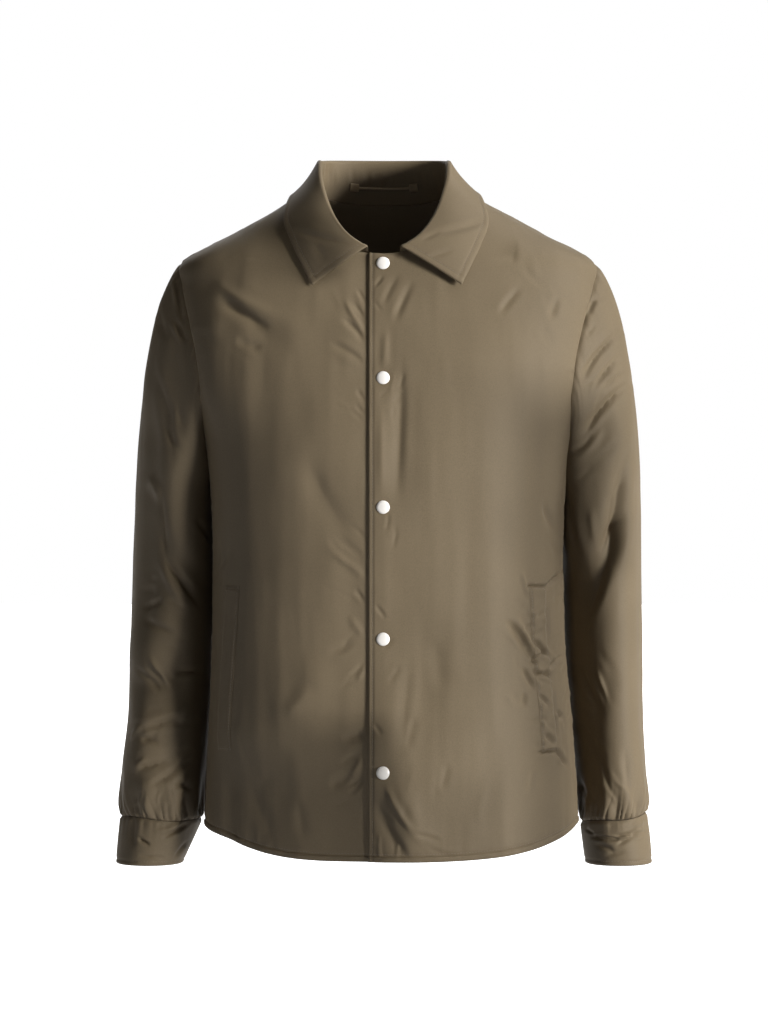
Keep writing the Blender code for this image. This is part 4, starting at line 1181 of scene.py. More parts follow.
def back_form():
    """The back on the form, and which of its columns end at the neck and its rows at the armholes."""
    across, up = np.linspace(0, 1, BACK_COLUMNS + 1), np.linspace(0, 1, BACK_ROWS + 1)
    hem = cut_at(hem_curve(-1, 1, BACK, BINDING_HEIGHT), across)
    ends = ((hem[0], RIGHT), (hem[-1], LEFT))
    edges = [side_and_armhole(end[2], (180, 360), up, side) for end, side in ends]
    half = np.minimum(across, 1 - across)
    shoulder_share = np.clip(1 - half / BACK_SHOULDER_SHARE, 0, 1)
    shoulder = cut_at(side_line(0.0, ARMHOLE_TOP, LEFT), shoulder_share)
    mirrored = cut_at(side_line(0.0, ARMHOLE_TOP, RIGHT), shoulder_share)
    shoulder = np.where((across < 0.5)[:, None], mirrored, shoulder)
    angle = 90 + 90 * np.clip((half - BACK_SHOULDER_SHARE) / (0.5 - BACK_SHOULDER_SHARE), 0, 1)
    neck = neckline(angle, np.where(across < 0.5, RIGHT, LEFT))
    on_neck = half >= BACK_SHOULDER_SHARE
    top = np.where(on_neck[:, None], neck, shoulder)
    form = onto_torso(patch(hem, top, *edges, across, up, dip=BACK_DIP))
    return form, on_neck, up > SIDE_SHARE


def back_grid():
    """Outer and inner points of the back, from the wearer's right side to the left."""
    form, on_neck, on_armhole = back_form()
    normal = torso_normal(form)
    from_right, from_hem = run_length(form, ACROSS), run_length(form, UP)
    from_left, from_top = from_right[:, -1:] - from_right, from_hem[-1:] - from_hem
    lift = back_lift(form)
    lift += seam_pull(from_right, from_hem, seed=61, pucker=SIDE_PUCKER)
    lift += seam_pull(from_left, from_hem, seed=62, pucker=SIDE_PUCKER)
    lift += seam_pull(from_hem, from_right, seed=63, pucker=HEM_PUCKER)
    lift += seam_pull(from_top, from_right, seed=64, pucker=TOP_PUCKER)
    depth = -normal
    depth = np.where(on_neck[None, :, None], turn_in(depth, from_top, neck_wall(form)), depth)
    for side, distance in ((RIGHT, from_right), (LEFT, from_left)):
        at_arm = turn_in(depth, distance, armhole_wall(form, side))
        depth = np.where(on_armhole[:, None, None], at_arm, depth)
    outer = form + normal * lift[..., None]
    note_row("back", outer, normal, from_hem, HEM_STITCH, UP)
    return outer, outer + CLOTH * depth


sew("back", *back_grid(), "back")
sew_stitches("back", "back")

# %% [markdown]
# ## The turned hem
# The lower edge is folded up into a narrow binding and stitched. It is a little thicker than one layer
# of cloth, rounded underneath, and it follows every fold of the panel above it. Its upper edge is tucked
# in behind the panel.

# %% Hem binding
BINDING_SWELL = 0.25 * MM
BINDING_TUCK, BINDING_SINK = 2.5 * MM, 1.6 * MM
BINDING_SINK_FROM, BINDING_SINK_OVER = 0.6, 0.25
BINDING_ROWS = 12
BINDING_ROUND, BINDING_ROUND_SHARE = 1.5 * MM, 0.3
BINDING_WAVE, BINDING_WAVE_SIZE = 0.35 * MM, 9 * MM


def binding_grid(facing, side):
    """Outer and inner points of the binding under a front or the back."""
    columns = FRONT_COLUMNS if facing == FRONT else BACK_COLUMNS
    across = edge_shares(columns, LAP_FINE) if facing == FRONT else np.linspace(0, 1, columns + 1)
    shares = np.linspace(0, 1, BINDING_ROWS + 1)
    rows = []
    for rise in (BINDING_HEIGHT + BINDING_TUCK) * shares:
        curve = front_hem(side, rise) if facing == FRONT else hem_curve(-1, 1, BACK, rise)
        rows.append(cut_at(curve, across))
    form = np.array(rows)
    normal = torso_normal(form)
    lift = front_lift(form, side) if facing == FRONT else back_lift(form)
    from_edge = run_length(form, ACROSS)
    if facing == FRONT:
        lift += turned_edge(from_edge, LAP_STITCH)
        lift += lap_push(form) if side == RIGHT else lap_sink(from_edge)
    share = shares[:, None]
    body = BINDING_SWELL * 2 * np.sqrt(np.clip(arch(share), 0, 1))
    body = body - BINDING_SINK * ease((share - BINDING_SINK_FROM) / BINDING_SINK_OVER)
    low = 1 - np.clip(share / BINDING_ROUND_SHARE, 0, 1)
    under = BINDING_ROUND * (1 - np.sqrt(np.clip(1 - low**2, 0, 1)))
    waves = BINDING_WAVE * ripple(from_edge, BINDING_WAVE_SIZE, seed=71 + side + facing) * arch(share)
    outer = form + normal * (lift + body - under + waves)[..., None]
    inner = form + normal * (lift - CLOTH - BINDING_SWELL + under)[..., None]
    return outer, inner


sew("hem_binding_back", *binding_grid(BACK, LEFT), "hem_binding_back")
for side, word in SIDES.items():
    sew(f"hem_binding_front_{word}", *binding_grid(FRONT, side), f"hem_binding_front_{word}")

# %% [markdown]
# ## Pocket welts
# A welt is a narrow strip sewn in at the mouth of a slanting side pocket. It lies almost flush with the
# front. What shows are its four rows of stitches, which draw the cloth into short puckers, more on the
# wearer's left, where hands have stretched it.

# %% Pocket welts
WELT_TOP, WELT_BOTTOM = -0.430, -0.606
WELT_TOP_X, WELT_BOTTOM_X = 0.153, 0.164
WELT_WIDTH, WELT_CLOTH, WELT_RUN = 26 * MM, 1.0 * MM, 1.6
WELT_ROWS, WELT_COLUMNS, WELT_FINE = 110, 30, 0.05
WELT_STITCH, WELT_DIP, WELT_BEVEL = 2.6 * MM, 0.6 * MM, 3 * MM
WELT_EDGE, WELT_LEAST = 0.35 * MM, 0.2 * MM
WELT_PUCKER, WELT_PUCKER_REACH = {LEFT: 1.3 * MM, RIGHT: 0.4 * MM}, 6 * MM
MOUTH_PUCKER_SIZE, SEAM_PUCKER_SIZE = 6 * MM, 7 * MM


def welt_form(side):
    """The place of a welt on the form: rows of one width, from the pocket's mouth backwards."""
    heights = np.linspace(WELT_BOTTOM, WELT_TOP, WELT_ROWS + 1)
    edge_x = np.interp(heights, (WELT_BOTTOM, WELT_TOP), (WELT_BOTTOM_X, WELT_TOP_X))
    reach = edge_shares(WELT_COLUMNS, WELT_FINE, both=True) * WELT_WIDTH
    rows = []
    for height, x in zip(heights, edge_x):
        ends = (side * x, side * (x + WELT_RUN * WELT_WIDTH))
        run = torso_at(np.linspace(*ends, CURVE_SAMPLES), height, FRONT)
        along = run_length(run)
        rows.append(np.stack([np.interp(reach, along, run[:, k]) for k in range(3)], axis=1))
    return np.array(rows)


def welt_grid(side):
    """Outer and inner points of a welt: the front's own surface, moved out."""
    form = welt_form(side)
    normal = torso_normal(form)
    base = form + normal * front_lift(form, side)[..., None]
    from_mouth, from_bottom = run_length(form, ACROSS), run_length(form, UP)
    from_seam, from_top = from_mouth[:, -1:] - from_mouth, from_bottom[-1:] - from_bottom
    edges = (from_mouth, from_seam, from_bottom, from_top)
    body = np.prod([ease(distance / WELT_BEVEL) for distance in edges], axis=0)
    dips = sum(bell((distance - WELT_STITCH) / STITCH_DIP_WIDTH) for distance in edges)
    at_mouth = bell((from_mouth - WELT_STITCH) / WELT_PUCKER_REACH)
    at_seam = bell((from_seam - WELT_STITCH) / WELT_PUCKER_REACH)
    pucker = ripple(from_bottom, MOUTH_PUCKER_SIZE, seed=81 + side) * at_mouth
    pucker += ripple(from_bottom, SEAM_PUCKER_SIZE, seed=84 + side) * at_seam
    rise = WELT_EDGE + (WELT_CLOTH + WELT_PUCKER[side] * pucker) * body - WELT_DIP * dips
    outer = base + normal * np.maximum(rise, WELT_LEAST)[..., None]
    panel = f"pocket_welt_{SIDES[side]}"
    for distance, axis in ((from_mouth, ACROSS), (from_seam, ACROSS), (from_top, UP), (from_bottom, UP)):
        note_row(panel, outer, normal, distance, WELT_STITCH, axis)
    return outer, base - normal * WELT_EDGE


for side, word in SIDES.items():
    sew(f"pocket_welt_{word}", *welt_grid(side), f"pocket_welt_{word}")
    sew_stitches(f"pocket_welt_{word}", f"pocket_welt_{word}")

# %% [markdown]
# ## Sleeves
# A sleeve is one tube. Its top is set into the armhole, leaves the shoulder sideways and turns down into
# a full ring under the arm, just clear of the body. Its end is drawn together into the cuff. A hanging
# sleeve breaks into slanting folds at the upper arm and the elbow, and into level ones above the cuff.

# %% Sleeve form
SleeveSection = namedtuple("SleeveSection", "height shift outer_reach centre_y half_depth body_gap")
SLEEVE_SECTIONS = (
    SleeveSection(-0.335, 0.0045, 0.2755, 0.036, 0.067, 0.0050),
    SleeveSection(-0.416, 0.0035, 0.2775, 0.041, 0.065, 0.0085),
    SleeveSection(-0.500, 0.0025, 0.279, 0.043, 0.063, 0.0105),
    SleeveSection(-0.580, 0.0015, 0.281, 0.040, 0.061, 0.0100),
    SleeveSection(-0.635, 0.0000, 0.285, 0.034, 0.059, 0.0095),
    SleeveSection(-0.666, 0.0000, 0.287, 0.030, 0.054, 0.0095),
    SleeveSection(-0.683, 0.0000, 0.286, 0.028, 0.048, 0.0105),
)
SLEEVE = Profile(SLEEVE_SECTIONS)
UNDER_ARM, SLEEVE_END = SLEEVE_SECTIONS[0].height, SLEEVE_SECTIONS[-1].height
CAP_PULL, CAP_SPREAD_TOP, CAP_SPREAD_UNDER, CAP_STEP = 0.55, 1.0, 0.15, 10 * MM
SLEEVE_AROUND, CAP_ROWS, RING_ROWS, CUFF_END_ROWS, CUFF_END = 260, 80, 106, 34, 40 * MM


def oval(turn, outer_x, inner_x, centre_y, half_depth, height):
    """A ring round the arm. Turn 0 is outermost, a quarter turn is the front."""
    x = (outer_x + inner_x) / 2 + (outer_x - inner_x) / 2 * np.cos(turn)
    return stack(x, centre_y - half_depth * np.sin(turn), height)


def sleeve_ring(turn, height, side):
    """The sleeve at a height, just clear of the body beside it."""
    names = ("shift", "outer_reach", "centre_y", "half_depth", "body_gap")
    shift, outer_reach, centre_y, half_depth, body_gap = [SLEEVE.read(name, height) for name in names]
    behind = centre_y - TORSO.read("side_y", height)
    inner_x = torso_beside(height, behind, BACK, side)[..., 0] + side * body_gap
    return oval(turn, shift + side * outer_reach, inner_x, centre_y, half_depth, height)


def sleeve_cap(turn, share, side):
    """The sleeve between the armhole (share 0) and the first full ring under the arm (share 1)."""
    start = armhole(np.degrees(turn), side) + np.array([side * ARMHOLE_SEAM, 0, 0])
    end = sleeve_ring(turn, UNDER_ARM, side)
    length = np.linalg.norm(end - start, axis=-1, keepdims=True)
    spread = CAP_SPREAD_UNDER + (CAP_SPREAD_TOP - CAP_SPREAD_UNDER) * (1 + np.cos(turn)) / 2
    leave = unit(stack(side * spread, 0.0, -1.0)) * length * CAP_PULL
    arrive = unit(sleeve_ring(turn, UNDER_ARM - CAP_STEP, side) - end) * length
    return bridge(share, start, leave, end, arrive)


def sleeve_form(turn, side):
    """One sleeve from the armhole to the cuff seam, and how far down its cap each row is."""
    shares = np.linspace(0, 1, CAP_ROWS + 1)
    heights = np.concatenate([
        np.linspace(UNDER_ARM, SLEEVE_END + CUFF_END, RING_ROWS + 1)[1:],
        np.linspace(SLEEVE_END + CUFF_END, SLEEVE_END, CUFF_END_ROWS + 1)[1:],
    ])
    rows = [sleeve_cap(turn, share, side) for share in shares]
    rows += [sleeve_ring(turn, height, side) for height in heights]
    return np.array(rows), np.concatenate([shares, np.ones(len(heights))])


print("sleeve rings:", len(SLEEVE_SECTIONS))

# %% Gathers at the cuff
GATHERS, GATHER_HEIGHT, GATHER_PEAK, GATHER_REACH = 10, 1.8 * MM, 13 * MM, 60 * MM
BUBBLES, BUBBLE_HEIGHT, BUBBLE_REACH, BUBBLE_FOOT = 34, 5.0 * MM, 12 * MM, 2 * MM
BUBBLE_DRIFT, BUBBLE_DRIFT_SIZE, BUBBLE_SLANT = 0.45, 1.7, 30 * MM
BUBBLE_EVENNESS, BUBBLE_MEAN = 0.65, 0.4
CUFF_SEAM_TILT = {LEFT: 4 * MM, RIGHT: 2 * MM}
CUFF_SEAM_WAVE, CUFF_SEAM_WAVES, CUFF_SEAM_REACH = 1.2 * MM, 3, 26 * MM


def gather_lift(turn, height, seed):
    """The sleeve drawn into its cuff: a few slow folds, and small bubbles with sharp valleys."""
    up = height - SLEEVE_END
    body = ease(up / GATHER_PEAK) * ease((GATHER_REACH - up) / (GATHER_REACH - GATHER_PEAK))
    full_turn = 2 * np.pi
    place = turn % full_turn * BUBBLES / full_turn
    drift = BUBBLE_DRIFT * ripple(place, BUBBLE_DRIFT_SIZE, seed) * arch(place / BUBBLES)
    place = place + drift + up / BUBBLE_SLANT
    uneven = BUBBLE_EVENNESS + (1 - BUBBLE_EVENNESS) * ripple(place, 1.0, seed + 1)
    bubble = np.sqrt(np.abs(np.sin(np.pi * place))) * uneven - BUBBLE_MEAN
    near_seam = ease(up / BUBBLE_FOOT) * np.exp(-up / BUBBLE_REACH)
    return GATHER_HEIGHT * body * np.cos(GATHERS * turn) + BUBBLE_HEIGHT * bubble * near_seam


def slant_cuff_seam(form, turn, side):
    """The seam between sleeve and cuff isn't level: it tilts and waves a little."""
    near = bell((form[..., 2] - SLEEVE_END) / CUFF_SEAM_REACH)
    wave = CUFF_SEAM_WAVE * np.sin(CUFF_SEAM_WAVES * turn + side)
    form[..., 2] += (CUFF_SEAM_TILT[side] * np.cos(turn) + wave) * near


print("gathers:", GATHERS, "slow,", BUBBLES, "small")

# %% Folds of the sleeves
# Angles round the arm: 0 is outermost, 90 the front, 180 against the body
SleeveFold = namedtuple("SleeveFold", "angle0 z0 angle1 z1 width height")
SLEEVE_FOLDS = {
    LEFT: (
        SleeveFold(35, -0.165, 130, -0.225, 0.012, -0.0030),
        SleeveFold(30, -0.205, 135, -0.290, 0.015, -0.0040),
        SleeveFold(25, -0.250, 120, -0.320, 0.016, 0.0030),
        SleeveFold(50, -0.340, 150, -0.460, 0.018, -0.0040),
        SleeveFold(70, -0.520, 125, -0.580, 0.016, -0.0025),
        SleeveFold(230, -0.250, 330, -0.330, 0.018, 0.0035),
        SleeveFold(220, -0.460, 320, -0.520, 0.018, -0.0035),
        SleeveFold(215, -0.590, 330, -0.610, 0.013, -0.0030),
    ),
    RIGHT: (
        SleeveFold(60, -0.170, 110, -0.300, 0.016, -0.0025),
        SleeveFold(50, -0.360, 165, -0.460, 0.016, -0.0040),
        SleeveFold(40, -0.440, 140, -0.500, 0.018, 0.0030),
        SleeveFold(20, -0.545, 135, -0.520, 0.013, -0.0035),
        SleeveFold(20, -0.585, 150, -0.560, 0.013, 0.0030),
        SleeveFold(30, -0.640, 140, -0.605, 0.012, -0.0035),
        SleeveFold(225, -0.260, 320, -0.330, 0.018, 0.0035),
        SleeveFold(215, -0.480, 325, -0.530, 0.018, -0.0035),
        SleeveFold(220, -0.590, 330, -0.620, 0.013, -0.0030),
    ),
}

# Slow changes of the section, between two heights: where a sleeve stands out, or sinks
SleeveTurn = namedtuple("SleeveTurn", "angle width top bottom height")
SLEEVE_TURNS = {
    LEFT: (
        SleeveTurn(128, 34, -0.34, -0.70, -0.0070),
        SleeveTurn(62, 26, -0.30, -0.66, 0.0035),
        SleeveTurn(134, 28, -0.17, -0.43, 0.0115),
    ),
    RIGHT: (
        SleeveTurn(70, 34, -0.30, -0.68, -0.0035),
        SleeveTurn(50, 34, -0.20, -0.52, -0.0075),
        SleeveTurn(125, 34, -0.20, -0.52, 0.0060),
        SleeveTurn(55, 30, -0.44, -0.68, 0.0060),
    ),
}
SLEEVE_TURN_END = 0.25
ROUND_SCALE = np.radians(1) * SLEEVE_SECTIONS[1].half_depth


def sleeve_turn(turn, height, side):
    """How far a sleeve stands out through the slow changes of its section."""
    lift = np.zeros(np.broadcast(turn, height).shape)
    for row in SLEEVE_TURNS[side]:
        along = (row.top - height) / (row.top - row.bottom)
        fade = ease(along / SLEEVE_TURN_END) * ease((1 - along) / SLEEVE_TURN_END)
        lift = lift + row.height * bell((np.degrees(turn) - row.angle) / row.width) * fade
    return lift


def sleeve_folds(turn, height, side):
    """How far a sleeve stands out through its large folds, laid out flat round the arm."""
    flat = [
        Fold(row.angle0 * ROUND_SCALE, row.z0, row.angle1 * ROUND_SCALE, row.z1, row.width, row.height)
        for row in SLEEVE_FOLDS[side]
    ]
    return fold_lift(np.degrees(turn) * ROUND_SCALE + 0 * height, height, flat)


print("folds of the sleeves:", {word: len(SLEEVE_FOLDS[side]) for side, word in SIDES.items()})

# %% Creases of the sleeves
SLEEVE_CREASES = {
    (LEFT, FRONT): (
        Crease(264, -276, 245, -424, 3, 14, 8.0, 0.35),
        Crease(246, -330, 240, -372, 0, 8, 2.0, 0.2),
        Crease(221, -92, 214, -160, 1, 4.5, 3.0, 0.2),
        Crease(231, -116, 217, -147, 1, 3.6, 2.2, 0.0),
        Crease(228, -150, 216, -164, 0, 3.2, 1.2, 0.0),
        Crease(262, -152, 211, -213, 4, 4.8, 3.8, 0.2),
        Crease(263, -177, 221, -226, 3, 4.2, 3.0, 0.0),
        Crease(266, -201, 232, -222, 2, 3.8, 2.6, 0.0),
        Crease(236, -222, 224, -246, 0, 4.5, 1.2, 0.0),
        Crease(276, -206, 208, -276, 4, 6.0, 5.2, 0.3),
        Crease(236, -262, 211, -297, 1, 6.0, -2.0, 0.0),
        Crease(224, -268, 208, -286, 0, 4.0, 1.6, 0.0),
        Crease(262, -354, 229, -398, 2, 7.0, 3.8, 0.3),
        Crease(207, -322, 210, -404, 0, 4.0, 2.4, 0.0),
        Crease(224, -340, 227, -392, 0, 5.0, -1.4, 0.0),
        Crease(268, -322, 204, -486, -5, 14, 6.5, 0.35),
        Crease(225, -520, 243, -558, 0, 4.2, -2.2, 0.0),
        Crease(204, -516, 227, -558, 2, 6.5, 2.8, 0.0),
        Crease(204, -576, 228, -611, 1, 5.5, 2.4, 0.0),
        Crease(231, -616, 245, -663, 0, 5.0, 1.8, 0.0),
        Crease(206, -640, 222, -668, 0, 5.0, 2.0, 0.0),
        Crease(258, -600, 264, -668, 0, 6.0, 1.4, 0.0),
    ),
    (RIGHT, FRONT): (
        Crease(-225, -92, -214, -160, 0, 4.0, 2.6, 0.0),
        Crease(-228, -98, -221, -136, 0, 3.2, -1.4, 0.0),
        Crease(-224, -143, -211, -171, 0, 3.8, 2.4, 0.0),
        Crease(-230, -146, -216, -172, 0, 3.6, -1.4, 0.0),
        Crease(-252, -185, -224, -310, -4, 9.0, 2.2, 0.2),
        Crease(-262, -310, -240, -344, 0, 9.0, -2.2, 0.0),
        Crease(-242, -326, -238, -404, 0, 8.0, 2.4, 0.0),
        Crease(-207, -356, -185, -390, 0, 5.0, 2.4, 0.0),
        Crease(-242, -398, -198, -460, -3, 6.5, 4.0, -0.3),
        Crease(-252, -401, -207, -465, -2, 7.0, -2.4, 0.0),
        Crease(-268, -456, -236, -445, 1, 4.5, 2.8, 0.0),
        Crease(-265, -467, -221, -482, 1, 4.8, 2.8, 0.0),
        Crease(-254, -505, -226, -543, 1, 4.4, -2.8, 0.0),
        Crease(-227, -526, -194, -522, 0, 4.2, 3.0, 0.0),
        Crease(-268, -518, -238, -546, 0, 4.2, 2.2, 0.0),
        Crease(-262, -584, -213, -568, 2, 5.0, 3.4, 0.2),
        Crease(-273, -599, -257, -581, 0, 3.4, -2.0, 0.0),
        Crease(-264, -595, -239, -599, 0, 4.0, 2.6, 0.0),
        Crease(-270, -630, -252, -616, 0, 3.4, -2.2, 0.0),
        Crease(-268, -627, -229, -618, 1, 4.2, 3.0, 0.0),
        Crease(-254, -646, -199, -610, 3, 5.4, 4.0, 0.2),
        Crease(-226, -640, -204, -652, 0, 4.6, 1.8, 0.0),
    ),
    (LEFT, BACK): (
        Crease(262, -180, 214, -240, -3, 7, 2.2, 0.2),
        Crease(266, -300, 216, -350, 2, 8, 2.0, 0.0),
        Crease(262, -400, 220, -440, -2, 7, 2.2, 0.0),
        Crease(266, -560, 222, -590, 1, 6, 2.2, 0.0),
        Crease(270, -620, 230, -610, 0, 5, 1.8, 0.0),
    ),
    (RIGHT, BACK): (
        Crease(-258, -190, -212, -252, 3, 7, 2.1, 0.2),
        Crease(-264, -280, -218, -322, -2, 7, 1.8, 0.0),
        Crease(-260, -420, -214, -456, 2, 8, 2.3, 0.0),
        Crease(-268, -548, -224, -574, -1, 6, 2.2, 0.0),
        Crease(-270, -606, -226, -622, 0, 5, 2.0, 0.0),
    ),
}
SLEEVE_RUMPLES = {
    (LEFT, FRONT): (
        Rumple(238, -180, 18, 60, 45, 20, 9, 28, 4.2, 1.2),
        Rumple(232, -310, 22, 60, 55, 20, 9, 32, 5.0, 1.2),
        Rumple(226, -560, 18, 70, -55, 20, 10, 34, 5.0, 1.3),
        Rumple(240, -645, 26, 20, -70, 25, 9, 24, 4.0, 1.2),
    ),
    (RIGHT, FRONT): (
        Rumple(-232, -230, 16, 90, -70, 18, 8, 36, 5.5, 1.1),
        Rumple(-238, -480, 24, 60, -15, 30, 12, 30, 4.4, 1.5),
        Rumple(-240, -600, 26, 50, 20, 25, 16, 28, 4.0, 1.7),
        Rumple(-240, -655, 28, 14, 60, 40, 9, 20, 3.6, 1.3),
    ),
    (LEFT, BACK): (
        Rumple(242, -220, 22, 90, 40, 25, 10, 36, 5.0, 1.3),
        Rumple(242, -430, 22, 90, 10, 35, 14, 32, 4.6, 1.4),
        Rumple(246, -610, 22, 50, -20, 30, 12, 30, 4.2, 1.5),
    ),
    (RIGHT, BACK): (
        Rumple(-240, -220, 22, 90, -40, 25, 10, 36, 5.0, 1.3),
        Rumple(-240, -430, 22, 90, -10, 35, 14, 32, 4.6, 1.4),
        Rumple(-244, -610, 22, 50, 20, 30, 12, 30, 4.2, 1.5),
    ),
}
for number, key in enumerate(SLEEVE_RUMPLES):
    SLEEVE_CREASES[key] += scattered(SLEEVE_RUMPLES[key], seed=90 + number)
TURN_FADE = 0.3


def facing_creases(points, turn, side, tables):
    """The creases of the front half and of the back half of a tube, fading out between them."""
    across, up = points[..., 0], points[..., 2]
    front = crease_lift(across, up, tables[side, FRONT]) * ease(np.sin(turn) / TURN_FADE)
    return front + crease_lift(across, up, tables[side, BACK]) * ease(-np.sin(turn) / TURN_FADE)


print("creases of the sleeves:", sum(len(table) for table in SLEEVE_CREASES.values()))

# %% Sleeves
CAP_FOLD_SHARE, FOLD_CUFF_FADE = 2 / 7, 20 * MM
UNDER_ARM_FILL, UNDER_ARM_TURN, UNDER_ARM_DROP, UNDER_ARM_REACH = 8 * MM, 60, 8 * MM, 26 * MM
ARM_TUCK, ARM_TUCK_UNDER, ARM_TUCK_REACH = 1.2 * MM, 2.4 * MM, 5 * MM
ARM_PUCKER = 1.1 * MM


def sleeve_lift(form, turn, down_cap, side):
    """How far one sleeve stands off its form: folds, creases, gathers, swells, a fill under the arm."""
    height = form[..., 2]
    off_armhole = ease(down_cap / CAP_FOLD_SHARE)[:, None]
    off_cuff = ease((height - SLEEVE_END) / FOLD_CUFF_FADE)
    lift = sleeve_folds(turn, height, side) * off_armhole * off_cuff + sleeve_turn(turn, height, side)
    lift += facing_creases(form, turn, side, SLEEVE_CREASES) * off_cuff
    inside = bell((np.degrees(turn) - 180) / UNDER_ARM_TURN)
    under_arm = bell((height - ARMHOLE_BOTTOM + UNDER_ARM_DROP) / UNDER_ARM_REACH)
    lift += UNDER_ARM_FILL * inside * under_arm
    return lift + gather_lift(turn, height, seed=91 + side) + cloth_swell(form, seed=95 + side)


def sleeve_grid(side):
    """Outer and inner points of one sleeve, from the armhole down to the cuff seam.

    The edge at the armhole is tucked under the panels, most of all underneath.
    """
    turn = np.arange(SLEEVE_AROUND) * 2 * np.pi / SLEEVE_AROUND
    form, down_cap = sleeve_form(turn, side)
    outward = grid_normals(form, True) * side
    lift = sleeve_lift(form, turn[None], down_cap, side)
    slant_cuff_seam(form, turn[None], side)
    from_armhole, round_ring = run_length(form, UP), run_length(form, ACROSS)
    from_cuff = from_armhole[-1:] - from_armhole
    lift += seam_pull(from_armhole, round_ring, seed=101 + side, pucker=ARM_PUCKER)
    lift -= SEAM_DIP * bell(from_cuff / SEAM_REACH)
    depth = turn_in(-outward, from_armhole, armhole_wall(form, side))
    middle = form[-1].mean(axis=0)
    depth = turn_in(depth, from_cuff, unit((middle - form) * np.array([1, 1, 0])))
    outer = form + outward * lift[..., None]
    tuck = ARM_TUCK + ARM_TUCK_UNDER * ease(0.5 - np.cos(turn))[None]
    outer[..., 0] -= side * tuck * bell(from_armhole / ARM_TUCK_REACH)
    return outer, outer + CLOTH * depth


for side, word in SIDES.items():
    sew(f"sleeve_{word}", *sleeve_grid(side), f"sleeve_{word}", closed=True)

# %% [markdown]
# ## Cuffs
# The cuff is a straight band, folded double, so it is fuller in the middle than at its edges. Its lower
# edge has a row of stitches close to the fold, and the gathers of the sleeve press some creases into it.

# %% Creases of the cuffs
CUFF_CREASES = {
    (LEFT, FRONT): (
        Crease(220, -702, 260, -705, -1, 3.0, 4.4, 0.2),
        Crease(248, -712, 286, -696, -3, 3.2, 3.8, 0.2),
        Crease(242, -700, 276, -694, 2, 2.8, 3.2, 0.0),
        Crease(218, -694, 228, -700, 0, 2.6, 2.0, 0.0),
        Crease(226, -710, 250, -719, -2, 4.0, 2.0, 0.0),
        Crease(262, -693, 286, -686, -1, 3.2, -1.4, 0.0),
        Crease(254, -704, 280, -702, -2, 3.6, -1.6, 0.0),
        Crease(236, -722, 262, -716, 0, 3.4, 1.2, 0.0),
    ),
    (RIGHT, FRONT): (
        Crease(-268, -680, -270, -716, 1, 6.0, 2.0, 0.2),
        Crease(-266, -702, -250, -711, 0, 2.8, 3.2, 0.0),
        Crease(-250, -696, -216, -686, 2, 4.0, -1.4, 0.0),
        Crease(-240, -703, -208, -685, 1, 3.2, 3.8, 0.0),
        Crease(-228, -726, -212, -706, 0, 3.2, 2.2, 0.0),
        Crease(-266, -721, -234, -724, 0, 2.4, 1.6, 0.0),
        Crease(-262, -727, -228, -729, 0, 2.2, -1.0, 0.0),
    ),
    (LEFT, BACK): (
        Crease(228, -702, 270, -712, 2, 5, 1.3, 0.0),
        Crease(236, -690, 282, -696, 0, 4, 1.1, 0.0),
    ),
    (RIGHT, BACK): (
        Crease(-272, -714, -230, -700, 2, 5, 1.3, 0.0),
        Crease(-284, -692, -248, -698, 0, 4, 1.0, 0.0),
    ),
}
print("creases of the cuffs:", sum(len(table) for table in CUFF_CREASES.values()))

# %% Cuffs
CUFF_BOTTOM, CUFF_OUTER_REACH, CUFF_INNER_REACH = -0.733, 0.291, 0.219
CUFF_HALF_DEPTH, CUFF_CENTRE_Y = 0.044, 0.026
CUFF_ROWS, CUFF_FINE, CUFF_FULLNESS, CUFF_STITCH = 40, 0.03, 0.7 * MM, 5 * MM
CUFF_PUCKER, CUFF_CREASE_FADE = 1.2 * MM, 6 * MM
CUFF_SWELL, CUFF_SWELL_SIZE = 0.5 * MM, 18 * MM


def cuff_grid(side):
    """Outer and inner points of one cuff, from the sleeve down."""
    turn = np.arange(SLEEVE_AROUND) * 2 * np.pi / SLEEVE_AROUND
    top = sleeve_ring(turn, SLEEVE_END, side) - np.array([0, 0, SEAM_GAP])
    reaches = (side * CUFF_OUTER_REACH, side * CUFF_INNER_REACH)
    bottom = oval(turn, *reaches, CUFF_CENTRE_Y, CUFF_HALF_DEPTH, CUFF_BOTTOM)
    shares = 1 - edge_shares(CUFF_ROWS, CUFF_FINE)[::-1]
    form = top[None] + (bottom - top)[None] * shares[:, None, None]
    outward = unit(form - form.mean(axis=1, keepdims=True))
    slant_cuff_seam(form, turn[None], side)
    from_top, round_ring = run_length(form, UP), run_length(form, ACROSS)
    from_end = from_top[-1:] - from_top
    lift = CUFF_FULLNESS * np.sqrt(np.clip(arch(shares), 0, 1))[:, None]
    lift = lift + turned_edge(from_end, CUFF_STITCH)
    lift += seam_pull(from_top, round_ring, seed=111 + side, pucker=CUFF_PUCKER)
    lift += facing_creases(form, turn[None], side, CUFF_CREASES) * ease(from_end / CUFF_CREASE_FADE)
    lift += CUFF_SWELL * swell(form, CUFF_SWELL_SIZE, seed=115 + side)
    outer = form + outward * lift[..., None]
    note_row(f"cuff_{SIDES[side]}", outer, outward, from_end, CUFF_STITCH, UP)
    return outer, form - outward * CLOTH


for side, word in SIDES.items():
    sew(f"cuff_{word}", *cuff_grid(side), f"cuff_{word}", closed=True)
    sew_stitches(f"cuff_{word}", f"cuff_{word}")

# %% [markdown]
# ## Collar
# The collar is one folded piece. Its stand rises from the neck seam, rolls over at the fold line and
# falls on to the fronts as two pointed leaves. The edges are turned and topstitched. The rows of its grid
# go from the neck seam up the stand, over the roll and down the fall. Angles are those of the neck seam.

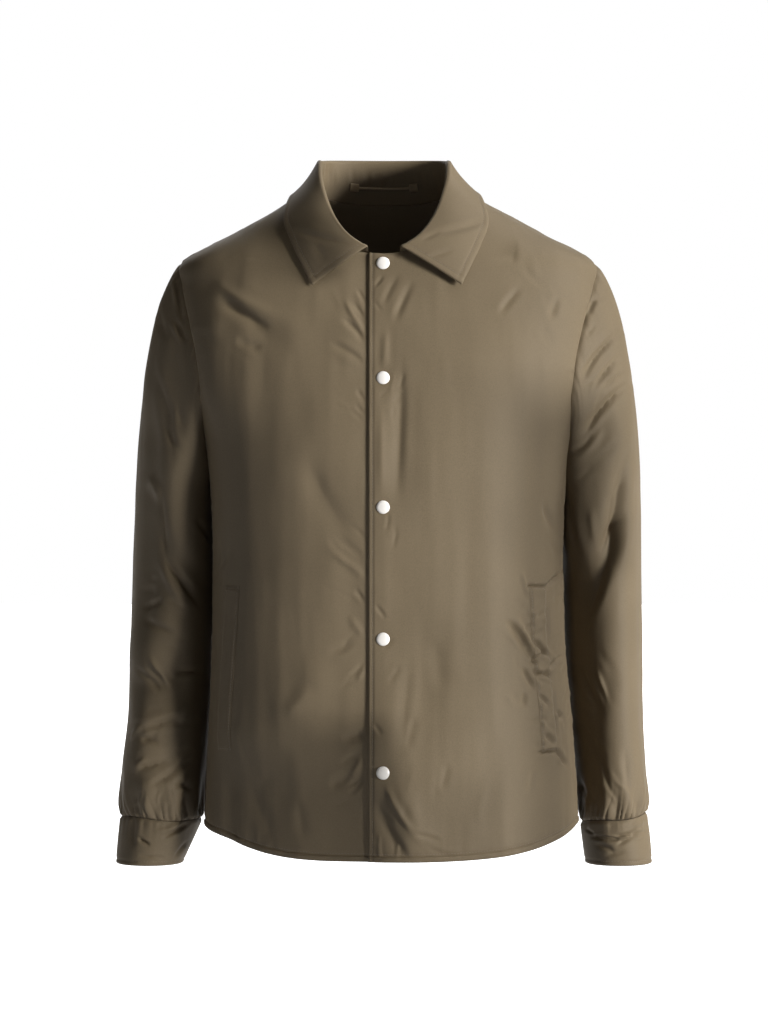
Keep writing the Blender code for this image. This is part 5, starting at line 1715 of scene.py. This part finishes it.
# %% Collar form
STAND_LEAN, STAND_LEAN_REACH = 10.5 * MM, 55
STAND_FRONT, STAND_SIDE = 4 * MM, 24.5 * MM
FOLD_BACK_RISE, FOLD_ROUNDING = 6 * MM, 3
ROLL_RADIUS, FALL_CLEARANCE = 2.1 * MM, 3 * MM
COLLAR_SHIFT, COLLAR_SHIFT_FULL, COLLAR_SHIFT_NONE = 3 * MM, 40, 140
CollarBow = namedtuple("CollarBow", "angle bow")
COLLAR_BOW = (
    CollarBow(12.6, 0.0025),
    CollarBow(45, 0.0045),
    CollarBow(90, -0.003),
    CollarBow(180, 0.002),
)
CollarEdge = namedtuple("CollarEdge", "angle x height")
COLLAR_EDGE = (
    CollarEdge(12.6, 0.0785, -0.1140),
    CollarEdge(30.0, 0.0885, -0.0935),
    CollarEdge(50.0, 0.1000, -0.0690),
    CollarEdge(70.0, 0.1080, -0.0440),
    CollarEdge(90.0, 0.1005, -0.0145),
    CollarEdge(115.0, 0.0875, -0.0220),
    CollarEdge(145.0, 0.0550, -0.0275),
    CollarEdge(180.0, 0.0000, -0.0300),
)
LEAF_LIFT, LEAF_LIFT_REACH = {LEFT: 2 * MM, RIGHT: -1 * MM}, 70
FOLD_FORWARD, FOLD_FORWARD_REACH = 11 * MM, 85
LEAF_TURN, LEAF_TURN_AT, LEAF_TURN_REACH = {LEFT: 0 * MM, RIGHT: 10 * MM}, 52, 30
EDGE, BOW = Profile(COLLAR_EDGE), Profile(COLLAR_BOW)
STAND_ROWS, ROLL_ROWS, FALL_ROWS, COLLAR_FINE = 12, 14, 54, 0.025
COLLAR_FRONT_COLUMNS, COLLAR_BACK_COLUMNS = 80, 50


def fold_height(angle):
    """The fold line is nearly level round the back, and runs down to the neckline at the front ends."""
    front = np.clip((angle - COLLAR_START) / (90 - COLLAR_START), 0, 1)
    back = np.clip((angle - 90) / 90, 0, 1)
    stand = STAND_FRONT + (STAND_SIDE - STAND_FRONT) * front
    forward = stand - NECK_FRONT_DROP * np.cos(np.radians(angle))
    behind = STAND_SIDE + FOLD_BACK_RISE * (1 - (1 - back) ** FOLD_ROUNDING)
    return np.where(angle <= 90, forward, behind)


def collar_lines(angle, side):
    """The collar's neck seam, fold line and outer edge at each angle round the neck."""
    seam = neckline(angle, side)
    inward = unit(-seam * np.array([1, 1, 0]))
    lean = STAND_LEAN * ease((angle - COLLAR_START) / STAND_LEAN_REACH)
    fold = seam + inward * lean[..., None]
    forward = ease((FOLD_FORWARD_REACH - angle) / (FOLD_FORWARD_REACH - COLLAR_START))
    fold[..., 1] -= FOLD_FORWARD * forward
    leaf_turn = np.where(side == LEFT, LEAF_TURN[LEFT], LEAF_TURN[RIGHT])
    fold[..., 1] -= leaf_turn * bell((angle - LEAF_TURN_AT) / LEAF_TURN_REACH)
    fold[..., 2] = fold_height(angle)
    shifted = ease((COLLAR_SHIFT_NONE - angle) / (COLLAR_SHIFT_NONE - COLLAR_SHIFT_FULL))
    x = side * EDGE.read("x", angle) + COLLAR_SHIFT * shifted
    height = EDGE.read("height", angle)
    front, back = torso_at(x, height, FRONT), torso_at(x, height, BACK)
    edge = np.where((angle <= 90)[..., None], front, back)
    edge = edge + torso_normal(edge) * (FALL_CLEARANCE + CLOTH / 2)
    return seam, fold, edge


def collar_centre():
    """The middle of the collar's cloth, and the angle of each of its columns round the neck."""
    front = COLLAR_START + (90 - COLLAR_START) * edge_shares(COLLAR_FRONT_COLUMNS, COLLAR_FINE)
    half = np.concatenate([front, np.linspace(90, 180, COLLAR_BACK_COLUMNS + 1)[1:]])
    angle = np.concatenate([half, half[-2::-1]])
    side = np.where(np.arange(len(angle)) < len(half), RIGHT, LEFT)
    seam, fold, edge = collar_lines(angle, side)
    seam = seam + neck_wall(seam) * CLOTH / 2
    seam[..., 2] += 2 * SEAM_GAP
    rise, fall = unit(fold - seam), unit(edge - fold)
    over = unit(fall - rise * (fall * rise).sum(axis=-1, keepdims=True))
    turning = np.arccos(np.clip((fall * rise).sum(axis=-1, keepdims=True), -1, 1))
    rows = [seam + (fold - seam) * t for t in np.linspace(0, 1, STAND_ROWS + 1)]
    for t in np.linspace(0, 1, ROLL_ROWS + 1)[1:]:
        rolled = over * (1 - np.cos(turning * t)) + rise * np.sin(turning * t)
        rows.append(fold + ROLL_RADIUS * rolled)
    start, out = rows[-1], torso_normal(edge)
    bow = BOW.read("bow", angle)[:, None]
    leaf_lift = np.where(side == LEFT, LEAF_LIFT[LEFT], LEAF_LIFT[RIGHT])
    on_leaf = ease((LEAF_LIFT_REACH - angle) / (LEAF_LIFT_REACH - COLLAR_START))
    off_chest = (leaf_lift * on_leaf)[:, None]
    for t in (1 - edge_shares(FALL_ROWS, COLLAR_FINE)[::-1])[1:]:
        rows.append(start + (edge - start) * t + out * (bow * arch(t) + off_chest * t))
    return np.array(rows), angle


print("collar columns:", 2 * (COLLAR_FRONT_COLUMNS + COLLAR_BACK_COLUMNS) + 1)

# %% Collar
COLLAR_STITCH, COLLAR_FULLNESS = 7 * MM, 0.4
COLLAR_SWELL, COLLAR_SWELL_SIZE = 0.5 * MM, 30 * MM
FALL_FADE_ROWS, LEAF_END = 8, 95
STAND_GATHER, STAND_GATHER_AT, STAND_GATHER_REACH = 1.3 * MM, 27 * MM, 7 * MM
STAND_GATHER_FROM, STAND_GATHER_OVER, FAR_GATHER = 100, 12, 1 / 3
GATHER_SIZE, FINE_GATHER_SIZE, FINE_GATHER = 3.2 * MM, 1.7 * MM, 0.6
COLLAR_CREASES = (
    Crease(-104, -50, -28, -71, 2, 6, 2.0, 0.0),
    Crease(110, -43, 52, -58, -1, 6, 1.8, 0.0),
    Crease(62, -55, 38, -66, 0, 4, 1.0, 0.0),
    Crease(45, -84, 76, -75, 0, 4, 0.8, 0.0),
    Crease(-60, -88, -76, -66, 0, 7, 0.8, 0.0),
)


def stand_gathers(from_seam, round_neck, angle):
    """The small gathers below the fold inside the stand, strongest on the wearer's right."""
    on_right = np.arange(len(angle)) < len(angle) / 2
    strength = STAND_GATHER * np.where(on_right, 1, FAR_GATHER)
    strength = strength * ease((angle - STAND_GATHER_FROM) / STAND_GATHER_OVER)
    waves = ripple(round_neck, GATHER_SIZE, seed=123)
    waves = waves + FINE_GATHER * ripple(round_neck, FINE_GATHER_SIZE, seed=124)
    return strength[None] * waves * bell((from_seam - STAND_GATHER_AT) / STAND_GATHER_REACH)


def collar_grid():
    """The collar's face, from the neck side of the stand to the top of the fall, and its under face."""
    centre, angle = collar_centre()
    normal = grid_normals(centre, False)
    neck_side = unit(-centre[0] * np.array([1, 1, 0]))
    normal *= np.sign((normal[STAND_ROWS // 2] * neck_side).sum(axis=-1).mean())
    from_seam, round_neck = run_length(centre, UP), run_length(centre, ACROSS)
    from_edge, from_far_end = from_seam[-1:] - from_seam, round_neck[:, -1:] - round_neck
    row = np.arange(len(centre))
    on_fall = ease((row - STAND_ROWS - ROLL_ROWS / 2) / FALL_FADE_ROWS)[:, None]
    creases = crease_lift(centre[..., 0], centre[..., 2], COLLAR_CREASES) * (angle <= LEAF_END)[None]
    lift = (creases + COLLAR_SWELL * swell(centre, COLLAR_SWELL_SIZE, seed=121)) * on_fall
    for distance in (from_edge, round_neck, from_far_end):
        lift += turned_edge(distance, COLLAR_STITCH, COLLAR_FULLNESS)
    lift += stand_gathers(from_seam, round_neck, angle)
    upper = centre + normal * (CLOTH / 2 + lift)[..., None]
    nearest = np.minimum(np.minimum(from_edge, round_neck), from_far_end)
    rounded = np.minimum(turned_edge(nearest, COLLAR_STITCH), 0)
    under = centre - normal * (CLOTH / 2 + rounded / 2)[..., None]
    upper[0] = centre[0] + neck_wall(centre[0]) * CLOTH / 2
    under[0] = centre[0] - neck_wall(centre[0]) * CLOTH / 2
    clear_of_ends = np.minimum(round_neck, from_far_end)[-1] > COLLAR_STITCH
    note_row("collar", upper, normal, from_edge, COLLAR_STITCH, UP, clear_of_ends)
    on_leaf = (row > STAND_ROWS + ROLL_ROWS) & (from_edge[:, 0] > COLLAR_STITCH)
    for distance in (round_neck, from_far_end):
        note_row("collar", upper, normal, distance, COLLAR_STITCH, ACROSS, on_leaf)
    return upper, under


sew("collar", *collar_grid(), "collar")
sew_stitches("collar", "collar")

# %% [markdown]
# ## Hanger loop
# A narrow tape lies inside the collar stand. It is wider at both ends, where it is caught down, and its
# middle stands off.

# %% Hanger loop
LOOP_HALF_LENGTH, LOOP_STAND_SHARE = 0.040, 0.42
LOOP_WIDTH, LOOP_THICKNESS, LOOP_BOW, LOOP_END_SHARE = 2.6 * MM, 1.4 * MM, 3 * MM, 1 / 3
LOOP_TAB_WIDTH, LOOP_TAB_SHARE, LOOP_TAB_FADE = 9 * MM, 0.75, 0.015
LOOP_GAP, LOOP_CROWN, LOOP_CROWN_POWER = 1.2 * MM, 1.04, 4
LOOP_COLUMNS, LOOP_ROWS = 160, 8


def loop_grid():
    """The hanger loop's face and its back."""
    reach = np.linspace(-1, 1, LOOP_COLUMNS + 1)
    side = np.where(reach < 0, RIGHT, LEFT)
    angle = 180 - np.degrees(np.arcsin(np.abs(reach) * LOOP_HALF_LENGTH / NECK_HALF_WIDTH))
    seam, fold, _ = collar_lines(angle, side)
    seam = seam + neck_wall(seam) * CLOTH / 2
    rise = unit(fold - seam)
    middle = seam + (fold - seam) * LOOP_STAND_SHARE
    inward = unit(np.cross(rise, np.gradient(middle, axis=0)))
    inward *= np.sign(-inward[:, 1:2])
    bow = LOOP_BOW * ease((1 - np.abs(reach)) / LOOP_END_SHARE)[:, None]
    off = CLOTH / 2 + LOOP_GAP + bow
    shares = np.linspace(-0.5, 0.5, LOOP_ROWS + 1)
    tab = ease((np.abs(reach) - LOOP_TAB_SHARE) / LOOP_TAB_FADE)[:, None]
    width = LOOP_WIDTH + (LOOP_TAB_WIDTH - LOOP_WIDTH) * tab
    under = np.array([middle + rise * width * share + inward * off for share in shares])
    crown = np.sqrt(np.clip(LOOP_CROWN - (2 * shares) ** LOOP_CROWN_POWER, 0, 1))
    full = LOOP_THICKNESS * crown[:, None, None]
    return under + inward[None] * full, under


sew("hanger_loop", *loop_grid(), "hanger_loop", finish=tape)

# %% [markdown]
# ## Snaps
# Each snap shows as a pressed metal cap: an upright rim, a rounded shoulder and a low dome. It is turned
# from a profile and seated square on the cloth of the left front.

# %% Snaps
SNAP_RADIUS, SNAP_RISE, SNAP_SEAT, SNAP_SIDES = 7 * MM, 2.6 * MM, 0.3 * MM, 48
SnapRing = namedtuple("SnapRing", "radius_share rise_share")
SNAP_PROFILE = (
    SnapRing(0.96, -0.10),
    SnapRing(1.0, 0.06),
    SnapRing(1.0, 0.24),
    SnapRing(0.975, 0.38),
    SnapRing(0.92, 0.50),
    SnapRing(0.82, 0.66),
    SnapRing(0.68, 0.80),
    SnapRing(0.50, 0.91),
    SnapRing(0.28, 0.98),
    SnapRing(0.10, 1.0),
)


def snap_cap(number, height):
    """One cap, turned from the profile, on the left front at a height."""
    turn = np.arange(SNAP_SIDES) * 2 * np.pi / SNAP_SIDES
    place = torso_at(np.array([SNAP_X]), np.array([height]), FRONT)
    out = torso_normal(place)
    seat = (place + out * (front_lift(place, LEFT) + SNAP_SEAT)[:, None])[0]
    out = out[0]
    right = unit(np.cross(np.array([0, 0, 1.0]), out))
    round_out = right * np.cos(turn)[:, None] + np.cross(out, right) * np.sin(turn)[:, None]
    rings = []
    for ring in SNAP_PROFILE:
        rise = out * SNAP_RISE * ring.rise_share
        rings.append(seat + rise + round_out * SNAP_RADIUS * ring.radius_share)
    index = grid_index(len(rings), SNAP_SIDES, True, 0)
    faces = quads(index).tolist() + [index[0, :-1].tolist(), index[-1, :-1].tolist()]
    points = np.concatenate(rings).tolist()
    return make_piece(f"snap_{number}_cap", points, faces, enamel, "snap_metal", f"snap_{number}")


for number, height in enumerate(SNAP_HEIGHTS, start=1):
    snap_cap(number, height)
print("snaps:", len(SNAP_HEIGHTS))

# %% [markdown]
# ## The cut of each sheet
# Cloth is cut flat before it is sewn. The flat size of each piece is what its surface measures along the
# grain, so a pattern maker could lay it out from these numbers.

HELD = {
    "front": "hung",
    "back": "hung",
    "sleeve": "gathered",
    "cuff": "folded",
    "collar": "folded",
    "pocket": "laid",
}


def flat_cut(piece):
    """Width, length and area of the cloth that shows on one piece."""
    mesh = piece.data
    place = np.zeros(2 * len(mesh.loops), np.float32)
    mesh.uv_layers["grain"].data.foreach_get("uv", place)
    width, length = (float(value) for value in place.reshape(-1, 2).max(axis=0))
    areas = np.zeros(len(mesh.polygons))
    mesh.polygons.foreach_get("area", areas)
    return width, length, min(float(areas.sum()) / 2, width * length)


for panel in (name.removesuffix("_cloth") for name in pieces if name.endswith("_cloth")):
    kind = panel.split("_")[0]
    if kind in HELD:
        piece = pieces[f"{panel}_cloth"]
        width, length, area = flat_cut(piece)
        print(panel, "cut", round(width, 3), "x", round(length, 3), "m, area", round(area, 4))
